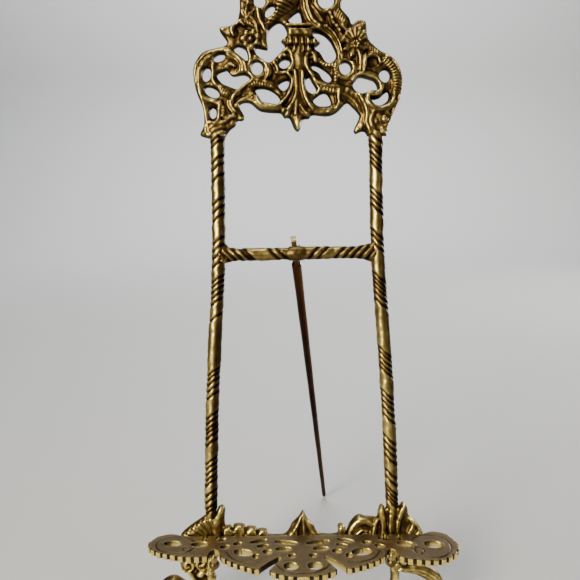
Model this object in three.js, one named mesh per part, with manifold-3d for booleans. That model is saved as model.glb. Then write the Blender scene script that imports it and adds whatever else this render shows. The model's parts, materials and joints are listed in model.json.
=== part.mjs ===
// A tabletop plate stand: a pierced, cast-brass easel with a fold-up ledge and a hinged rear leg.
// Millimetres, +Z up, front towards -Y.
import * as THREE from "three";
import { mergeVertices } from "three/addons/utils/BufferGeometryUtils.js";
import Module from "manifold-3d";

const wasm = await Module();
wasm.setup();

// ---- driving dimensions (mm, degrees) ----
const LEAN = 10; // the front frame leans back by this angle
const GAP = 0.3; // clearance left between neighbouring pieces
const CAST = 5; // thickness of the crest, the base rail and the feet
const BEVEL = 0.8;
const CREST_FOOT = 272; // height up the frame where the crest meets the uprights
const RAIL_TOP = 55; // height up the frame where the uprights meet the base rail
const RAIL_FOOT = 43; // height up the frame where the feet begin
const BAR_HEIGHT = 209; // height of the crossbar up the frame
const ROD = 3.4; // radius of the uprights
const LEDGE_TOP = 52; // height of the ledge's upper face above the table
const LEDGE_THICK = 3.6;
const LEDGE_AXIS = 6.2; // the ledge's hinge line, in front of the frame's middle plane
const LUG_X = 50; // middle of each ledge hinge
const LUG_WIDTH = 5; // knuckle on the ledge
const EAR_WIDTH = 1.8; // ears of the rail either side of the knuckle
const NOTCH_X = 47.4; // notch in the ledge that shows the ball of the bracket under it
const NOTCH_Y = -19.5;
const BALL = 3;
const PIN = 1; // radius of the ledge hinge pins
const PIVOT = 1.5; // radius of the rear leg's pin
const RUNNING = 0.08; // radial clearance of a pin in its hole
const PIVOT_X = -1.6; // the rear leg's pin, a little left of the middle
const PIVOT_DEPTH = 8.5; // the same pin, behind the frame's middle plane
const LEG_FOOT = new THREE.Vector3(19.5, 124.4, 0); // where the rear leg meets the table
const LEG_TOP_RADIUS = 2.4;
const LEG_END_RADIUS = 1.6;
const TONGUE = 2.6; // thickness of the leg's flattened top

// ---- vectors and frames ----
const rad = THREE.MathUtils.degToRad;
const vec = (x, y, z) => new THREE.Vector3(x, y, z);
const X = vec(1, 0, 0);
const Y = vec(0, 1, 0);
const Z = vec(0, 0, 1);
const LEANING = new THREE.Matrix4().makeRotationX(-rad(LEAN));

/** A point (x, depth behind the frame's middle plane, height up the frame) in the stand's space. */
const onFrame = (x, depth, up) => vec(x, depth, up).applyMatrix4(LEANING);

// ---- solids ----
/** A three.js geometry as a manifold solid. */
function solid(geometry) {
  const bare = geometry.clone();
  bare.deleteAttribute("normal");
  bare.deleteAttribute("uv");
  const merged = mergeVertices(bare, 1e-4);
  const mesh = new wasm.Mesh({
    numProp: 3,
    vertProperties: merged.attributes.position.array,
    triVerts: new Uint32Array(merged.index.array),
  });
  return new wasm.Manifold(mesh);
}

const join = (parts) => wasm.Manifold.union(parts);

/** The solid moved by a three.js matrix. */
const moved = (body, matrix) => body.transform(matrix.elements);

const leaned = (body) => moved(body, LEANING);

/** A closed skin through rings of equal point counts, with a fan over each end. */
function loft(rings) {
  const sides = rings[0].length;
  const points = rings.flat();
  const index = [];
  for (let r = 0; r + 1 < rings.length; r++) {
    for (let s = 0; s < sides; s++) {
      const a = r * sides + s;
      const b = r * sides + ((s + 1) % sides);
      index.push(a, b, b + sides, a, b + sides, a + sides);
    }
  }
  const middle = (ring) => ring.reduce((sum, p) => sum.add(p), vec(0, 0, 0)).divideScalar(sides);
  const start = points.length;
  const end = start + 1;
  const lastRing = start - sides;
  points.push(middle(rings[0]), middle(rings.at(-1)));
  for (let s = 0; s < sides; s++) {
    const next = (s + 1) % sides;
    index.push(start, next, s, end, lastRing + s, lastRing + next);
  }
  const geometry = new THREE.BufferGeometry().setFromPoints(points);
  geometry.setIndex(index);
  return solid(geometry);
}

/** A closed rod along a curve; radius(t, angle) gives its section and `across` a direction that it keeps. */
function rod(curve, radius, { sides = 8, steps = 12, across = Y } = {}) {
  const stations = Array.isArray(steps) ? steps : Array.from({ length: steps + 1 }, (_, i) => i / steps);
  const rings = stations.map((t) => {
    const along = curve.getTangent(t);
    const side = across.clone().cross(along).normalize();
    const deep = along.clone().cross(side);
    return Array.from({ length: sides }, (_, s) => {
      const angle = (2 * Math.PI * s) / sides;
      const r = radius(t, angle);
      return curve
        .getPoint(t)
        .addScaledVector(side, r * Math.cos(angle))
        .addScaledVector(deep, r * Math.sin(angle));
    });
  });
  return loft(rings);
}

/** A rod through points, with one radius at each end and a swelling halfway. */
function limb(points, from, to, options) {
  const curve = points.length > 2 ? new THREE.CatmullRomCurve3(points) : new THREE.LineCurve3(...points);
  return rod(curve, (t) => from + (to - from) * t, options);
}

/** An ellipsoid in the frame's plane: centre (x, up), half sizes, tilt in degrees and depth of its centre. */
function boss(x, up, halfX, halfUp, halfDeep, tilt = 0, depth = -CAST / 2 + 0.4) {
  const ball = new THREE.SphereGeometry(1, 8, 6);
  ball.scale(halfX, halfDeep, halfUp).rotateY(-rad(tilt)).translate(x, depth, up);
  return solid(ball);
}

/** A flat plate in the frame's plane from a shape in (x, up), centred on the given depth. */
function plate(shape, thickness, bevel = 0, depth = 0) {
  const body = new THREE.ExtrudeGeometry(shape, {
    depth: thickness - 2 * bevel,
    bevelEnabled: bevel > 0,
    bevelThickness: bevel,
    bevelSize: bevel,
    bevelOffset: -bevel,
    bevelSegments: 1,
    curveSegments: 6,
  });
  body.translate(0, 0, bevel - thickness / 2).rotateX(Math.PI / 2).translate(0, depth, 0);
  return solid(body);
}

// ---- outlines ----
const flat = (pairs) => pairs.map(([x, y]) => new THREE.Vector2(x, y));
const mirrored = (pairs) => pairs.map(([x, y]) => [-x, y]).reverse();

/** An ellipse as eight points: centre, half sizes and tilt in degrees. */
function oval(x, y, halfX, halfY, tilt = 0) {
  const cos = Math.cos(rad(tilt));
  const sin = Math.sin(rad(tilt));
  return Array.from({ length: 8 }, (_, i) => {
    const a = (2 * Math.PI * i) / 8;
    const dx = halfX * Math.cos(a);
    const dy = halfY * Math.sin(a);
    return [x + dx * cos - dy * sin, y + dx * sin + dy * cos];
  });
}

function pierced(outline, holes) {
  const shape = new THREE.Shape(flat(outline));
  shape.holes = holes.map((hole) => new THREE.Path(flat(hole)));
  return shape;
}

/** A band of metal of changing width along a curve through the points, as a shape. */
function band(pairs, widths, steps = 14) {
  const curve = new THREE.SplineCurve(flat(pairs));
  const left = [];
  const right = [];
  for (let i = 0; i <= steps; i++) {
    const t = i / steps;
    const at = curve.getPoint(t);
    const along = curve.getTangent(t);
    const k = t * (widths.length - 1);
    const low = Math.min(Math.floor(k), widths.length - 2);
    const half = THREE.MathUtils.lerp(widths[low], widths[low + 1], k - low) / 2;
    left.push([at.x - along.y * half, at.y + along.x * half]);
    right.push([at.x + along.y * half, at.y - along.x * half]);
  }
  return new THREE.Shape(flat([...left, ...right.reverse()]));
}

// ---- crest ----
const CREST_OUTLINE = [
  [-39.6, 272], [-36.5, 276], [-33.3, 278.5], [-32.3, 281], [-29.3, 281.3], [-28.3, 283.5], [-30.8, 288.5],
  [-29.5, 290.4], [-25, 290.4], [-20, 286.4], [-14.3, 285.3], [-8.6, 284.8], [-6.7, 282.4], [-3.8, 282],
  [-1.5, 276.8], [0.5, 275], [2.2, 276.8], [3.4, 281.2], [6.7, 281.8], [8.8, 283.6], [15.8, 283], [19.7, 283.7],
  [23, 285.7], [27.3, 289.8], [30, 288], [33.7, 284], [34, 281.7], [31.5, 276.2], [31.2, 274.5], [32.3, 273.3],
  [34.7, 274.3], [37, 274.3], [38.6, 272], [49, 272], [50.6, 278.4], [53.3, 285.1], [56.6, 292.3], [57.7, 299.5],
  [57, 306.2], [53.3, 312.9], [45.7, 317.7], [40.4, 322.6], [38.8, 326.5], [38.1, 333.1], [34, 334], [30.7, 331.9],
  [29, 335.6], [24.8, 340.6], [25.8, 345.4], [24.2, 350], [19.5, 353], [14.4, 351.4], [10.8, 348.4], [9, 350.6],
  [7.5, 353.5], [5.5, 357], [2, 358.5], [-1.5, 357], [-5, 355], [-3, 353], [-5.5, 349], [-10.5, 347.5],
  [-14.5, 350.4], [-19.5, 352.4], [-25, 350.8], [-29.5, 346.5], [-29.8, 341], [-31.2, 334.5], [-34, 332], [-40.3, 331.3],
  [-40.6, 328.8], [-37, 323.5], [-38.5, 321.3], [-43.3, 320.1], [-49.9, 318.2], [-54, 313.4], [-55.6, 308.5],
  [-55, 301], [-53.5, 295], [-51, 289], [-50.2, 283], [-50.6, 278.5], [-52.6, 274.2], [-51, 272.8], [-48, 272],
];
const CREST_HOLES = [
  oval(-19, 344.5, 2.9, 2.9), oval(-13.5, 339, 3.3, 1.8, 52), oval(16.8, 344.6, 4.1, 4),
  [[-3.3, 334.8], [-1.9, 332.9], [2.8, 332.9], [3.4, 334], [2.6, 337.6], [1.2, 338.4]],
  [[-9.2, 333], [-14.3, 329], [-15.4, 324], [-15.1, 319], [-21, 319.8], [-21.6, 317.6], [-19.6, 315.3],
    [-14.5, 312.2], [-10.2, 315.4], [-5.8, 320.3], [-7.8, 323.4], [-4.6, 326.4], [-5.9, 331]],
  [[9.6, 326.3], [12.3, 323.5], [13.4, 321.9], [10.4, 319.3], [13.3, 317], [15.8, 312.8], [18.4, 311.6],
    [21, 313], [21.9, 315.8], [20.4, 319.7], [18.3, 323.3], [14.8, 326.3], [10.9, 327.5]],
  [[-33.1, 318.7], [-29.5, 315.5], [-26.6, 313.3], [-25.9, 315], [-26.9, 318.6], [-29.2, 320.2], [-31.6, 320.6]],
  oval(-41.3, 314.8, 3.2, 1.6, 18), oval(-48.3, 306, 2.2, 3.3, -12), oval(-45.6, 296.5, 4.2, 2, -28),
  [[-42.7, 304.8], [-40, 301.4], [-36, 299.6], [-31.7, 298.2], [-29, 300.3], [-25.1, 303.1], [-27.8, 305.6],
    [-34, 305], [-36.5, 307.2], [-37.9, 308], [-41.7, 306.7]],
  oval(-21, 309, 3, 3.2), oval(-6, 311.2, 2.8, 1.9, 20), oval(-45.3, 285.4, 1.7, 2.5),
  [[-9.5, 299.7], [-8.6, 298.1], [-6.7, 297], [-4.6, 298.7], [-3.7, 301.6], [-5.4, 302.2], [-8, 301.2]],
  [[-22, 297], [-20.1, 293.9], [-18.5, 291.6], [-15, 290.7], [-10.4, 290.1], [-8.9, 291.8], [-10, 294.1],
    [-13.2, 296.6], [-16.8, 297.9], [-20.4, 298]],
  [[8.8, 309.8], [9.1, 308.3], [12.5, 306.1], [14.4, 302.9], [17, 301.3], [18.8, 301.8], [19.1, 303.5],
    [17, 306.2], [12.5, 309.2], [10, 310]],
  [[5.2, 302.2], [5.3, 299.3], [6.1, 297.1], [7.9, 295.6], [10, 295.4], [10.8, 297.3], [8.6, 301.2], [7.1, 303.6]],
  [[9.3, 291.3], [10.7, 289.4], [13.3, 288.4], [17.9, 288.7], [18.8, 290.4], [16.9, 294.3], [14.3, 295],
    [11.4, 293.4]],
  oval(26.8, 308.3, 2.8, 2.9), oval(48.1, 304, 2.7, 3),
  [[31, 299.7], [31.3, 298], [33, 296.1], [35.7, 295.1], [40.6, 296.3], [43.8, 296.6], [43.7, 299],
    [42.4, 301], [40, 302.2], [34.7, 303.4], [32.5, 301.7]],
  [[41.2, 291.5], [42.6, 289.5], [45.3, 288.5], [48.2, 289.7], [49.9, 291.7], [50.2, 294], [49.4, 295.5],
    [47.3, 294.1], [45.3, 292.4], [42.7, 291.6]],
];

/** A raised rib on the crest through points (x, up). */
function rib(pairs, from, to, steps = 7) {
  const points = pairs.map(([x, up]) => vec(x, -CAST / 2 + 0.2, up));
  return limb(points, from, to, { sides: 5, steps });
}

function crestFigure() {
  return [
    boss(-1.5, 345, 5.6, 8, 4.4, -20),
    boss(-9.5, 338.5, 3.2, 7.6, 3, -52),
    boss(0.6, 354.3, 3.4, 3.4, 3.4),
    boss(-3.9, 354.6, 2.2, 0.9, 1, 8),
    boss(7.6, 341, 3.2, 8, 3.6, -24),
  ];
}

function crestUrn() {
  return [
    boss(1.8, 328.6, 6.8, 2.2, 3.4),
    boss(2.7, 322.6, 10.4, 2.6, 4.2),
    boss(1.8, 316.5, 3.6, 4.4, 3.4),
    boss(-6, 315, 2.6, 2.6, 2.4),
    boss(8.4, 314.6, 2.8, 2.8, 2.4),
  ];
}

function crestPalmette() {
  const ribs = [[-9, 288], [-4.6, 284.6], [0.4, 283], [5.6, 285], [9.6, 288.2]].map(([x, up]) =>
    rib([[x * 0.22 + 0.6, 309], [x * 0.5, 297], [x, up]], 1.1, 1.9),
  );
  return [...ribs, boss(0.3, 280.4, 2.4, 5.2, 2.6)];
}

function crestFlower(x, up, tilt) {
  const petals = Array.from({ length: 5 }, (_, i) => {
    const a = rad(tilt + i * 72);
    return boss(x + 4 * Math.cos(a), up + 4 * Math.sin(a), 3.2, 2.2, 1.9, tilt + i * 72);
  });
  return [...petals, boss(x, up, 2.6, 2.6, 3.6)];
}

function crestScrolls() {
  return [
    rib([[-44, 273.5], [-47.4, 283], [-50.8, 291], [-53.2, 301], [-52.8, 309.5], [-46, 316.4], [-37.6, 315.8],
      [-31, 310.4], [-31.6, 304.5]], 2.2, 1.5, 18),
    rib([[44, 273.4], [48.4, 283], [54, 293], [55, 301.5], [51.4, 310.5], [42.6, 314.4]], 2.2, 1.7, 14),
    rib([[-35, 282], [-38, 290], [-31, 296], [-23, 300.5], [-15, 300], [-10.5, 302.5]], 1.6, 1.2, 12),
    rib([[35, 282], [36.6, 288.5], [28.5, 294.5], [22, 299], [14.5, 298.5]], 1.6, 1.2, 10),
    rib([[-26, 288.8], [-17.6, 287.6], [-9, 288]], 1.5, 1.4, 6),
    rib([[24.4, 288.6], [17, 286], [9.4, 286.6]], 1.5, 1.4, 6),
    boss(45.6, 280.6, 4.4, 4.4, 3.6),
    boss(-34.5, 309, 3.8, 3.8, 2.8),
    boss(-41.6, 285, 3, 4.6, 2.4, 15),
  ];
}

function crest() {
  const sheet = plate(pierced(CREST_OUTLINE, CREST_HOLES), CAST, BEVEL);
  const raised = [
    ...crestFigure(),
    ...crestUrn(),
    ...crestPalmette(),
    ...crestFlower(-27, 325.5, 20),
    ...crestFlower(33, 322.5, 50),
    ...crestScrolls(),
    boss(-23.4, 340, 3, 7, 2.4, 12),
    boss(22.4, 336, 3, 8, 2.4, 12),
  ];
  const below = solid(new THREE.BoxGeometry(200, 40, 20).translate(0, 0, CREST_FOOT - 10));
  return leaned(join([sheet, ...raised]).subtract(below));
}

// ---- uprights and crossbar ----
/** Middle line of the right upright; the pair splay outwards towards the base. */
const UPRIGHT_LINE = [[43.2, CREST_FOOT - GAP], [43.9, BAR_HEIGHT], [47.3, 155], [49.5, 115.5], [51, 70], [51.2, RAIL_TOP]];

function uprightCurve(side, offset = 0) {
  const points = UPRIGHT_LINE.map(([x, up], i) => {
    const end = i === UPRIGHT_LINE.length - 1 ? GAP : 0;
    return vec(side * x, offset, up + end);
  });
  return new THREE.CatmullRomCurve3(points);
}

/** Slanting grooves come in groups with a plain swelling between them. */
const GROUPS = 8;
const GROOVES = 3;

function grooved(t, angle, turn) {
  const phase = (t * GROUPS) % 1;
  const inGroup = phase > 0.25 && phase < 0.95;
  const swelling = 0.35 * Math.max(0, Math.cos((phase - 0.1) * 2 * Math.PI));
  const twist = turn * angle + (2 * Math.PI * GROOVES * (phase - 0.25)) / 0.7;
  return ROD - 0.25 + swelling + (inGroup ? 0.32 * Math.cos(twist) : 0);
}

function groupStations() {
  const within = [0, 0.1, 0.25, 0.35, 0.48, 0.6, 0.72, 0.84, 0.95];
  const all = Array.from({ length: GROUPS }, (_, g) => within.map((p) => (g + p) / GROUPS)).flat();
  return [...all, 1];
}

function upright(side) {
  const line = uprightCurve(side);
  const flat = { sides: 8, steps: groupStations() };
  return leaned(rod(line, (t, angle) => grooved(t, angle, side), flat));
}

function uprightEnvelope(side) {
  return rod(uprightCurve(side), () => ROD + 0.45 + GAP, { sides: 16, steps: 24 });
}

// The rear leg turns about an axis square to it that lies in the frame's plane.
const PIVOT_AT = onFrame(PIVOT_X, PIVOT_DEPTH, BAR_HEIGHT);
const LEG_UP = PIVOT_AT.clone().sub(LEG_FOOT).normalize();
const FRAME_BACK = onFrame(0, 1, 0);
const LEG_AXIS = LEG_UP.clone().cross(FRAME_BACK).normalize();
const LEG_BACK = LEG_UP.clone().cross(LEG_AXIS).normalize();
const LEG_LENGTH = PIVOT_AT.distanceTo(LEG_FOOT);
/** Places (across the pivot, behind the leg, up the leg) at the pivot. */
const LEG_SPACE = new THREE.Matrix4().makeBasis(LEG_AXIS, LEG_BACK, LEG_UP).setPosition(PIVOT_AT);
/** Places (across the pivot, behind the frame, up the frame) at the pivot. */
const EAR_SPACE = new THREE.Matrix4()
  .makeBasis(LEG_AXIS, FRAME_BACK, LEG_AXIS.clone().cross(FRAME_BACK))
  .setPosition(PIVOT_AT);

/** A round bar along X about the origin, `length` long. */
function barX(radius, length, sides = 24) {
  return solid(new THREE.CylinderGeometry(radius, radius, length, sides).rotateZ(Math.PI / 2));
}

/** One ear of the clevis: a tab that runs back from the crossbar and rounds off behind the pin. */
function ear(x) {
  const outline = new THREE.Shape();
  outline.moveTo(-PIVOT_DEPTH + 2, -4);
  outline.lineTo(0, -3.4);
  outline.absarc(0, 0, 3.4, -Math.PI / 2, Math.PI / 2, false);
  outline.lineTo(-PIVOT_DEPTH + 2, 4);
  const tab = new THREE.ExtrudeGeometry(outline, { depth: EAR_WIDTH, bevelEnabled: false, curveSegments: 8 });
  tab.translate(0, 0, -EAR_WIDTH / 2).rotateX(Math.PI / 2).rotateZ(Math.PI / 2);
  tab.translate(x, 0, 0);
  return solid(tab);
}

function clevis() {
  const offset = TONGUE / 2 + GAP + EAR_WIDTH / 2;
  const ears = join([ear(-offset), ear(offset)]).subtract(barX(PIVOT + RUNNING, 20));
  return moved(ears, EAR_SPACE);
}

function crossbar() {
  const reach = 43.9;
  const line = new THREE.LineCurve3(vec(-reach, 0, BAR_HEIGHT), vec(reach, 0, BAR_HEIGHT));
  const radius = (t, angle) => {
    const x = Math.abs(2 * t - 1) * reach;
    const flare = 2.4 * Math.max(0, (x - 33) / 8) ** 2;
    const side = Math.sign(2 * t - 1);
    const groove = x > 9 && x < 34 ? 0.3 * Math.cos((2 * Math.PI * x) / 6.2 + side * angle) : 0;
    return 3.1 + flare + groove;
  };
  const bar = rod(line, radius, { sides: 8, steps: 44 });
  const middle = boss(-0.5, BAR_HEIGHT, 8.6, 4, 4, 0, 0);
  const cut = join([uprightEnvelope(-1), uprightEnvelope(1)]);
  const parts = leaned(join([bar, middle]).subtract(cut).decompose().find((p) => p.volume() > 500));
  return join([parts, clevis()]);
}

// ---- base rail and feet ----
const RAIL_OUTLINE = [
  [-64, 44], [-46, 42.8], [46, 42.8], [64, 44], [68, 49], [67.5, 52.4], [63.5, 58], [58.5, 61.5], [56.6, 66.2],
  [55.4, 62], [54.8, 55], [47.6, 55], [46.6, 65], [44.2, 66], [43.6, 60.4], [41, 58], [38.5, 60.3], [34, 61],
  [29, 58.6], [25.4, 53.6], [24.6, 51], [24.2, 54.6], [22.2, 55.4], [20.4, 54.6], [19.8, 50.4], [9, 50.4],
  [6.2, 55.4], [2.2, 61.2], [0.6, 64], [-1.4, 61.4], [-5.6, 56], [-10, 50.4], [-20.4, 50.4], [-21.4, 54.4],
  [-25, 54.6], [-26.2, 52.4], [-27, 55.2], [-30.6, 55.6], [-31.8, 53.4], [-33.4, 57.2], [-37.6, 57.2],
  [-38.6, 54.4], [-40.4, 56.4], [-44.6, 56], [-44.4, 62], [-46, 67.6], [-47.6, 64], [-48, 55], [-54.4, 55],
  [-55.2, 62], [-57.4, 61.6], [-62.6, 57.6], [-67.5, 52.2], [-68, 49],
];

/** Frame-space height of the ledge's hinge line, and its place in the stand's space. */
const LEDGE_MIDDLE = LEDGE_TOP - LEDGE_THICK / 2;
const HINGE_Y = LEDGE_MIDDLE * Math.tan(rad(LEAN)) - LEDGE_AXIS;

/** Ears of the rail that hold a ledge hinge pin, reaching forward from the rail. */
function railEars(side) {
  const reach = LEDGE_AXIS + 1;
  return [-1, 1].map((hand) => {
    const x = side * LUG_X + hand * (LUG_WIDTH / 2 + GAP + EAR_WIDTH / 2);
    const tab = solid(new THREE.BoxGeometry(EAR_WIDTH, reach, 4.4).translate(x, HINGE_Y + reach / 2, LEDGE_MIDDLE));
    return join([tab, barX(2.2, EAR_WIDTH, 16).translate([x, HINGE_Y, LEDGE_MIDDLE])]);
  });
}

function baseRail() {
  const sheet = plate(pierced(RAIL_OUTLINE, []), CAST, BEVEL);
  const relief = [
    boss(0.4, 55.6, 3.2, 7, 2.2, 0, -1.4),
    boss(33.6, 54.6, 7.4, 5, 2.2, 0, -1.4),
    boss(-61, 54, 5.4, 3.4, 2, 38, -1.4),
    boss(61, 54, 5.4, 3.4, 2, -38, -1.4),
  ];
  const cut = join([uprightEnvelope(-1), uprightEnvelope(1)]);
  const rail = leaned(join([sheet, ...relief]).subtract(cut));
  const holes = [-1, 1].map((side) => barX(PIN + RUNNING, 14).translate([side * LUG_X, HINGE_Y, LEDGE_MIDDLE]));
  return join([rail, ...railEars(-1), ...railEars(1)]).subtract(join(holes));
}

/** A scroll foot, with a bracket that reaches forward to a ball under the ledge's notch. */
function foot(side) {
  const at = (pairs) => pairs.map(([x, up]) => [side * x, up]);
  const scroll = band(
    at([[50, 44], [50.5, 36], [56, 29.6], [66, 27.6], [75, 22.5], [77.6, 13], [72.5, 3.8], [63.6, 1.8], [57.6, 8],
      [59.4, 16.4], [66, 18]]),
    [12, 6, 5, 5.6, 6, 6.2, 7, 6, 4.6, 4, 5.5],
    30,
  );
  const stem = band(at([[50.5, 40], [52.4, 30], [51.4, 20], [45.6, 12], [41, 4]]), [9, 5.4, 4.6, 5, 6.6], 12);
  const toe = plate(new THREE.Shape(flat(oval(side * 42, 3.8, 6.6, 5))), CAST, BEVEL);
  const flutes = [boss(side * 76, 14, 2.2, 7, 2, 0, -1.6), boss(side * 66, 27, 7, 2, 2, side * -12, -1.6)];
  const web = plate(new THREE.Shape(flat(oval(side * 58.6, 8.4, 6, 5))), CAST, BEVEL);
  const body = leaned(join([plate(scroll, CAST, BEVEL), plate(stem, CAST, BEVEL), toe, web, ...flutes]));
  const ballAt = vec(side * NOTCH_X, HINGE_Y + LEDGE_AXIS + NOTCH_Y, LEDGE_TOP - LEDGE_THICK - GAP - BALL);
  const arm = limb([onFrame(side * 50.4, 0, 33), ballAt.clone().add(vec(0, 8, -5.5)), ballAt], 2.4, 1.9, {
    steps: 8,
    across: X,
  });
  const ball = solid(new THREE.SphereGeometry(BALL, 12, 8).rotateX(Math.PI / 2).translate(...ballAt));
  const underRail = leaned(solid(new THREE.BoxGeometry(60, 30, 30).translate(side * 60, 10.6, RAIL_FOOT + 14.5)));
  const table = solid(new THREE.BoxGeometry(400, 400, 40).translate(0, 0, -20));
  return join([body, arm, ball]).subtract(join([underRail, table]));
}

// ---- ledge ----
/** Half of the scalloped front: [toothed, points (x, y)], from the middle outwards. */
const LEDGE_RIM = [
  [true, [[0, -39.2], [6, -38.8], [11, -37.4], [15.4, -35.6], [18, -33.8]]],
  [false, [[14.2, -28.2], [11.4, -24.4], [11.6, -23.2], [13, -23.2], [17.2, -26.4], [21.6, -30.8]]],
  [true, [[22.4, -33.2], [25.2, -33], [30, -31.2], [35.5, -28.8], [40.5, -25.8], [44.4, -22.6]]],
  [false, [[45.4, -19.6], [45.9, -17.9], [47.4, -17], [48.9, -17.9], [49.4, -19.6]]],
  [true, [[50.6, -22.8], [54, -24.2], [60, -24.8], [67, -24.8], [74, -23.4], [80, -19.8], [83.4, -14.6], [82.8, -9.6]]],
  [false, [[79.4, -6.4], [74.6, -4.4], [68, -4]]],
];
const TOOTH = 4.4; // spacing of the coin-edge teeth
const TOOTH_DEPTH = 0.9;

/** Coin-edge teeth along a rim: each is a flat land and a narrow notch. */
function toothed(pairs) {
  const curve = new THREE.SplineCurve(flat(pairs));
  const count = Math.round(curve.getLength() / TOOTH);
  const rim = [];
  for (let i = 0; i < count; i++) {
    for (const [part, inset] of [[0.12, 0], [0.62, 0], [0.74, TOOTH_DEPTH], [1, TOOTH_DEPTH]]) {
      const t = (i + part) / count;
      const at = curve.getPointAt(t);
      const along = curve.getTangentAt(t);
      rim.push([at.x - along.y * inset, at.y + along.x * inset]);
    }
  }
  return rim;
}

const LEDGE_HOLES = [
  oval(71.6, -12.4, 4.8, 2.5), oval(56.2, -11.6, 4.6, 2.1, -8), oval(44.4, -8.4, 2.6, 1.2, -12),
  oval(42, -14.6, 2.7, 1.4, -12), oval(35.2, -11.8, 2.6, 1.3, -10), oval(24, -9.8, 4.8, 1.4, -14),
  oval(21.6, -13.8, 3.2, 1.2, -12), oval(18.6, -18.8, 2.7, 1.7), oval(31.6, -19.4, 5.4, 2.6, 8),
  oval(24.8, -22.4, 1.9, 1.7), oval(8.6, -11.2, 6.6, 1.5, 8), oval(10, -16.6, 4.4, 1.6), oval(5.6, -22.2, 2.3, 1.4),
  oval(6.2, -30.4, 3.9, 2.7),
];

function ledge() {
  const half = LEDGE_RIM.flatMap(([teeth, pairs]) => (teeth ? toothed(pairs) : pairs));
  const outline = [...half, ...mirrored(half)];
  const holes = [...LEDGE_HOLES, ...LEDGE_HOLES.map(mirrored)];
  const sheet = new THREE.ExtrudeGeometry(pierced(outline, holes), { depth: LEDGE_THICK, bevelEnabled: false });
  sheet.translate(0, HINGE_Y + LEDGE_AXIS, LEDGE_TOP - LEDGE_THICK);
  const cuts = [];
  for (const side of [-1, 1]) {
    for (const hand of [-1, 1]) {
      const x = side * LUG_X + hand * (LUG_WIDTH / 2 + GAP + EAR_WIDTH / 2);
      const slot = new THREE.BoxGeometry(EAR_WIDTH + 2 * GAP, 12, 20);
      cuts.push(solid(slot.translate(x, HINGE_Y + 3.1, LEDGE_MIDDLE)));
    }
    cuts.push(barX(PIN + RUNNING, 14).translate([side * LUG_X, HINGE_Y, LEDGE_MIDDLE]));
  }
  return solid(sheet).subtract(join(cuts));
}

/** A ledge hinge pin; its ends stop just inside the outer faces of the ears. */
function ledgePin(side) {
  return barX(PIN, LUG_WIDTH + 2 * GAP + 2 * EAR_WIDTH - 0.2).translate([side * LUG_X, HINGE_Y, LEDGE_MIDDLE]);
}

// ---- rear leg ----
/** The rod, flattened and drilled at the pivot, with a tail that stops against the crossbar's boss. */
function rearLeg() {
  const top = -9;
  const line = new THREE.LineCurve3(vec(0, 0, top), vec(0, 0, -LEG_LENGTH - 4));
  const shaft = rod(line, (t) => LEG_TOP_RADIUS + (LEG_END_RADIUS - LEG_TOP_RADIUS) * t, { sides: 12, steps: 4 });
  const outline = new THREE.Shape(flat([[-2.9, 10.2], [-1.6, 11.4], [1.6, 11.4], [2.9, 10.2], [2.9, -9], [1.6, -16],
    [-1.6, -16], [-2.9, -9]]));
  const tongue = new THREE.ExtrudeGeometry(outline, { depth: TONGUE, bevelEnabled: false });
  tongue.translate(0, 0, -TONGUE / 2).rotateX(Math.PI / 2).rotateZ(Math.PI / 2);
  const whole = join([shaft, solid(tongue)]).subtract(barX(PIVOT + RUNNING, 20));
  const table = solid(new THREE.BoxGeometry(400, 400, 40).translate(0, 0, -20));
  return moved(whole, LEG_SPACE).subtract(table);
}

/** The leg's pin: a shank with a low domed head at each end. */
function legPin() {
  const half = TONGUE / 2 + GAP + EAR_WIDTH + GAP;
  const shank = barX(PIVOT, 2 * half + 0.4);
  const heads = [-1, 1].map((hand) => {
    const dome = new THREE.SphereGeometry(2.6, 16, 8).scale(0.5, 1, 1).translate(hand * half, 0, 0);
    const inside = solid(new THREE.BoxGeometry(4, 8, 8).translate(hand * (half - 2), 0, 0));
    return solid(dome).subtract(inside);
  });
  return moved(join([shank, ...heads]), LEG_SPACE);
}

// ---- materials and assembly ----
const BRASS = new THREE.MeshStandardMaterial({ name: "cast_brass", color: 0x8c6b33, roughness: 0.34, metalness: 1 });
const MATTE = new THREE.MeshStandardMaterial({ name: "matte_brass", color: 0x73644b, roughness: 0.55, metalness: 1 });
const DARK = new THREE.MeshStandardMaterial({ name: "dark_rod", color: 0x3a2116, roughness: 0.45, metalness: 1 });
const PIN_BRASS = new THREE.MeshStandardMaterial({ name: "pin_brass", color: 0x9a7c42, roughness: 0.3, metalness: 1 });

function named(name, body, material) {
  const { vertProperties, triVerts, numProp } = body.getMesh();
  const geometry = new THREE.BufferGeometry();
  const count = vertProperties.length / numProp;
  const positions = new Float32Array(count * 3);
  for (let i = 0; i < count; i++) positions.set(vertProperties.subarray(i * numProp, i * numProp + 3), i * 3);
  geometry.setAttribute("position", new THREE.BufferAttribute(positions, 3));
  geometry.setIndex(new THREE.BufferAttribute(new Uint32Array(triVerts), 1));
  geometry.computeVertexNormals();
  const mesh = new THREE.Mesh(geometry, material);
  mesh.name = name;
  return mesh;
}

const stand = new THREE.Group();
stand.name = "plate_display_stand";
stand.add(
  named("crest", crest(), BRASS),
  named("left_upright", upright(-1), BRASS),
  named("right_upright", upright(1), BRASS),
  named("crossbar", crossbar(), BRASS),
  named("base_rail", baseRail(), BRASS),
  named("left_foot", foot(-1), BRASS),
  named("right_foot", foot(1), BRASS),
  named("ledge", ledge(), MATTE),
  named("left_ledge_pin", ledgePin(-1), PIN_BRASS),
  named("right_ledge_pin", ledgePin(1), PIN_BRASS),
  named("rear_leg", rearLeg(), DARK),
  named("leg_pin", legPin(), PIN_BRASS),
);

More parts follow.
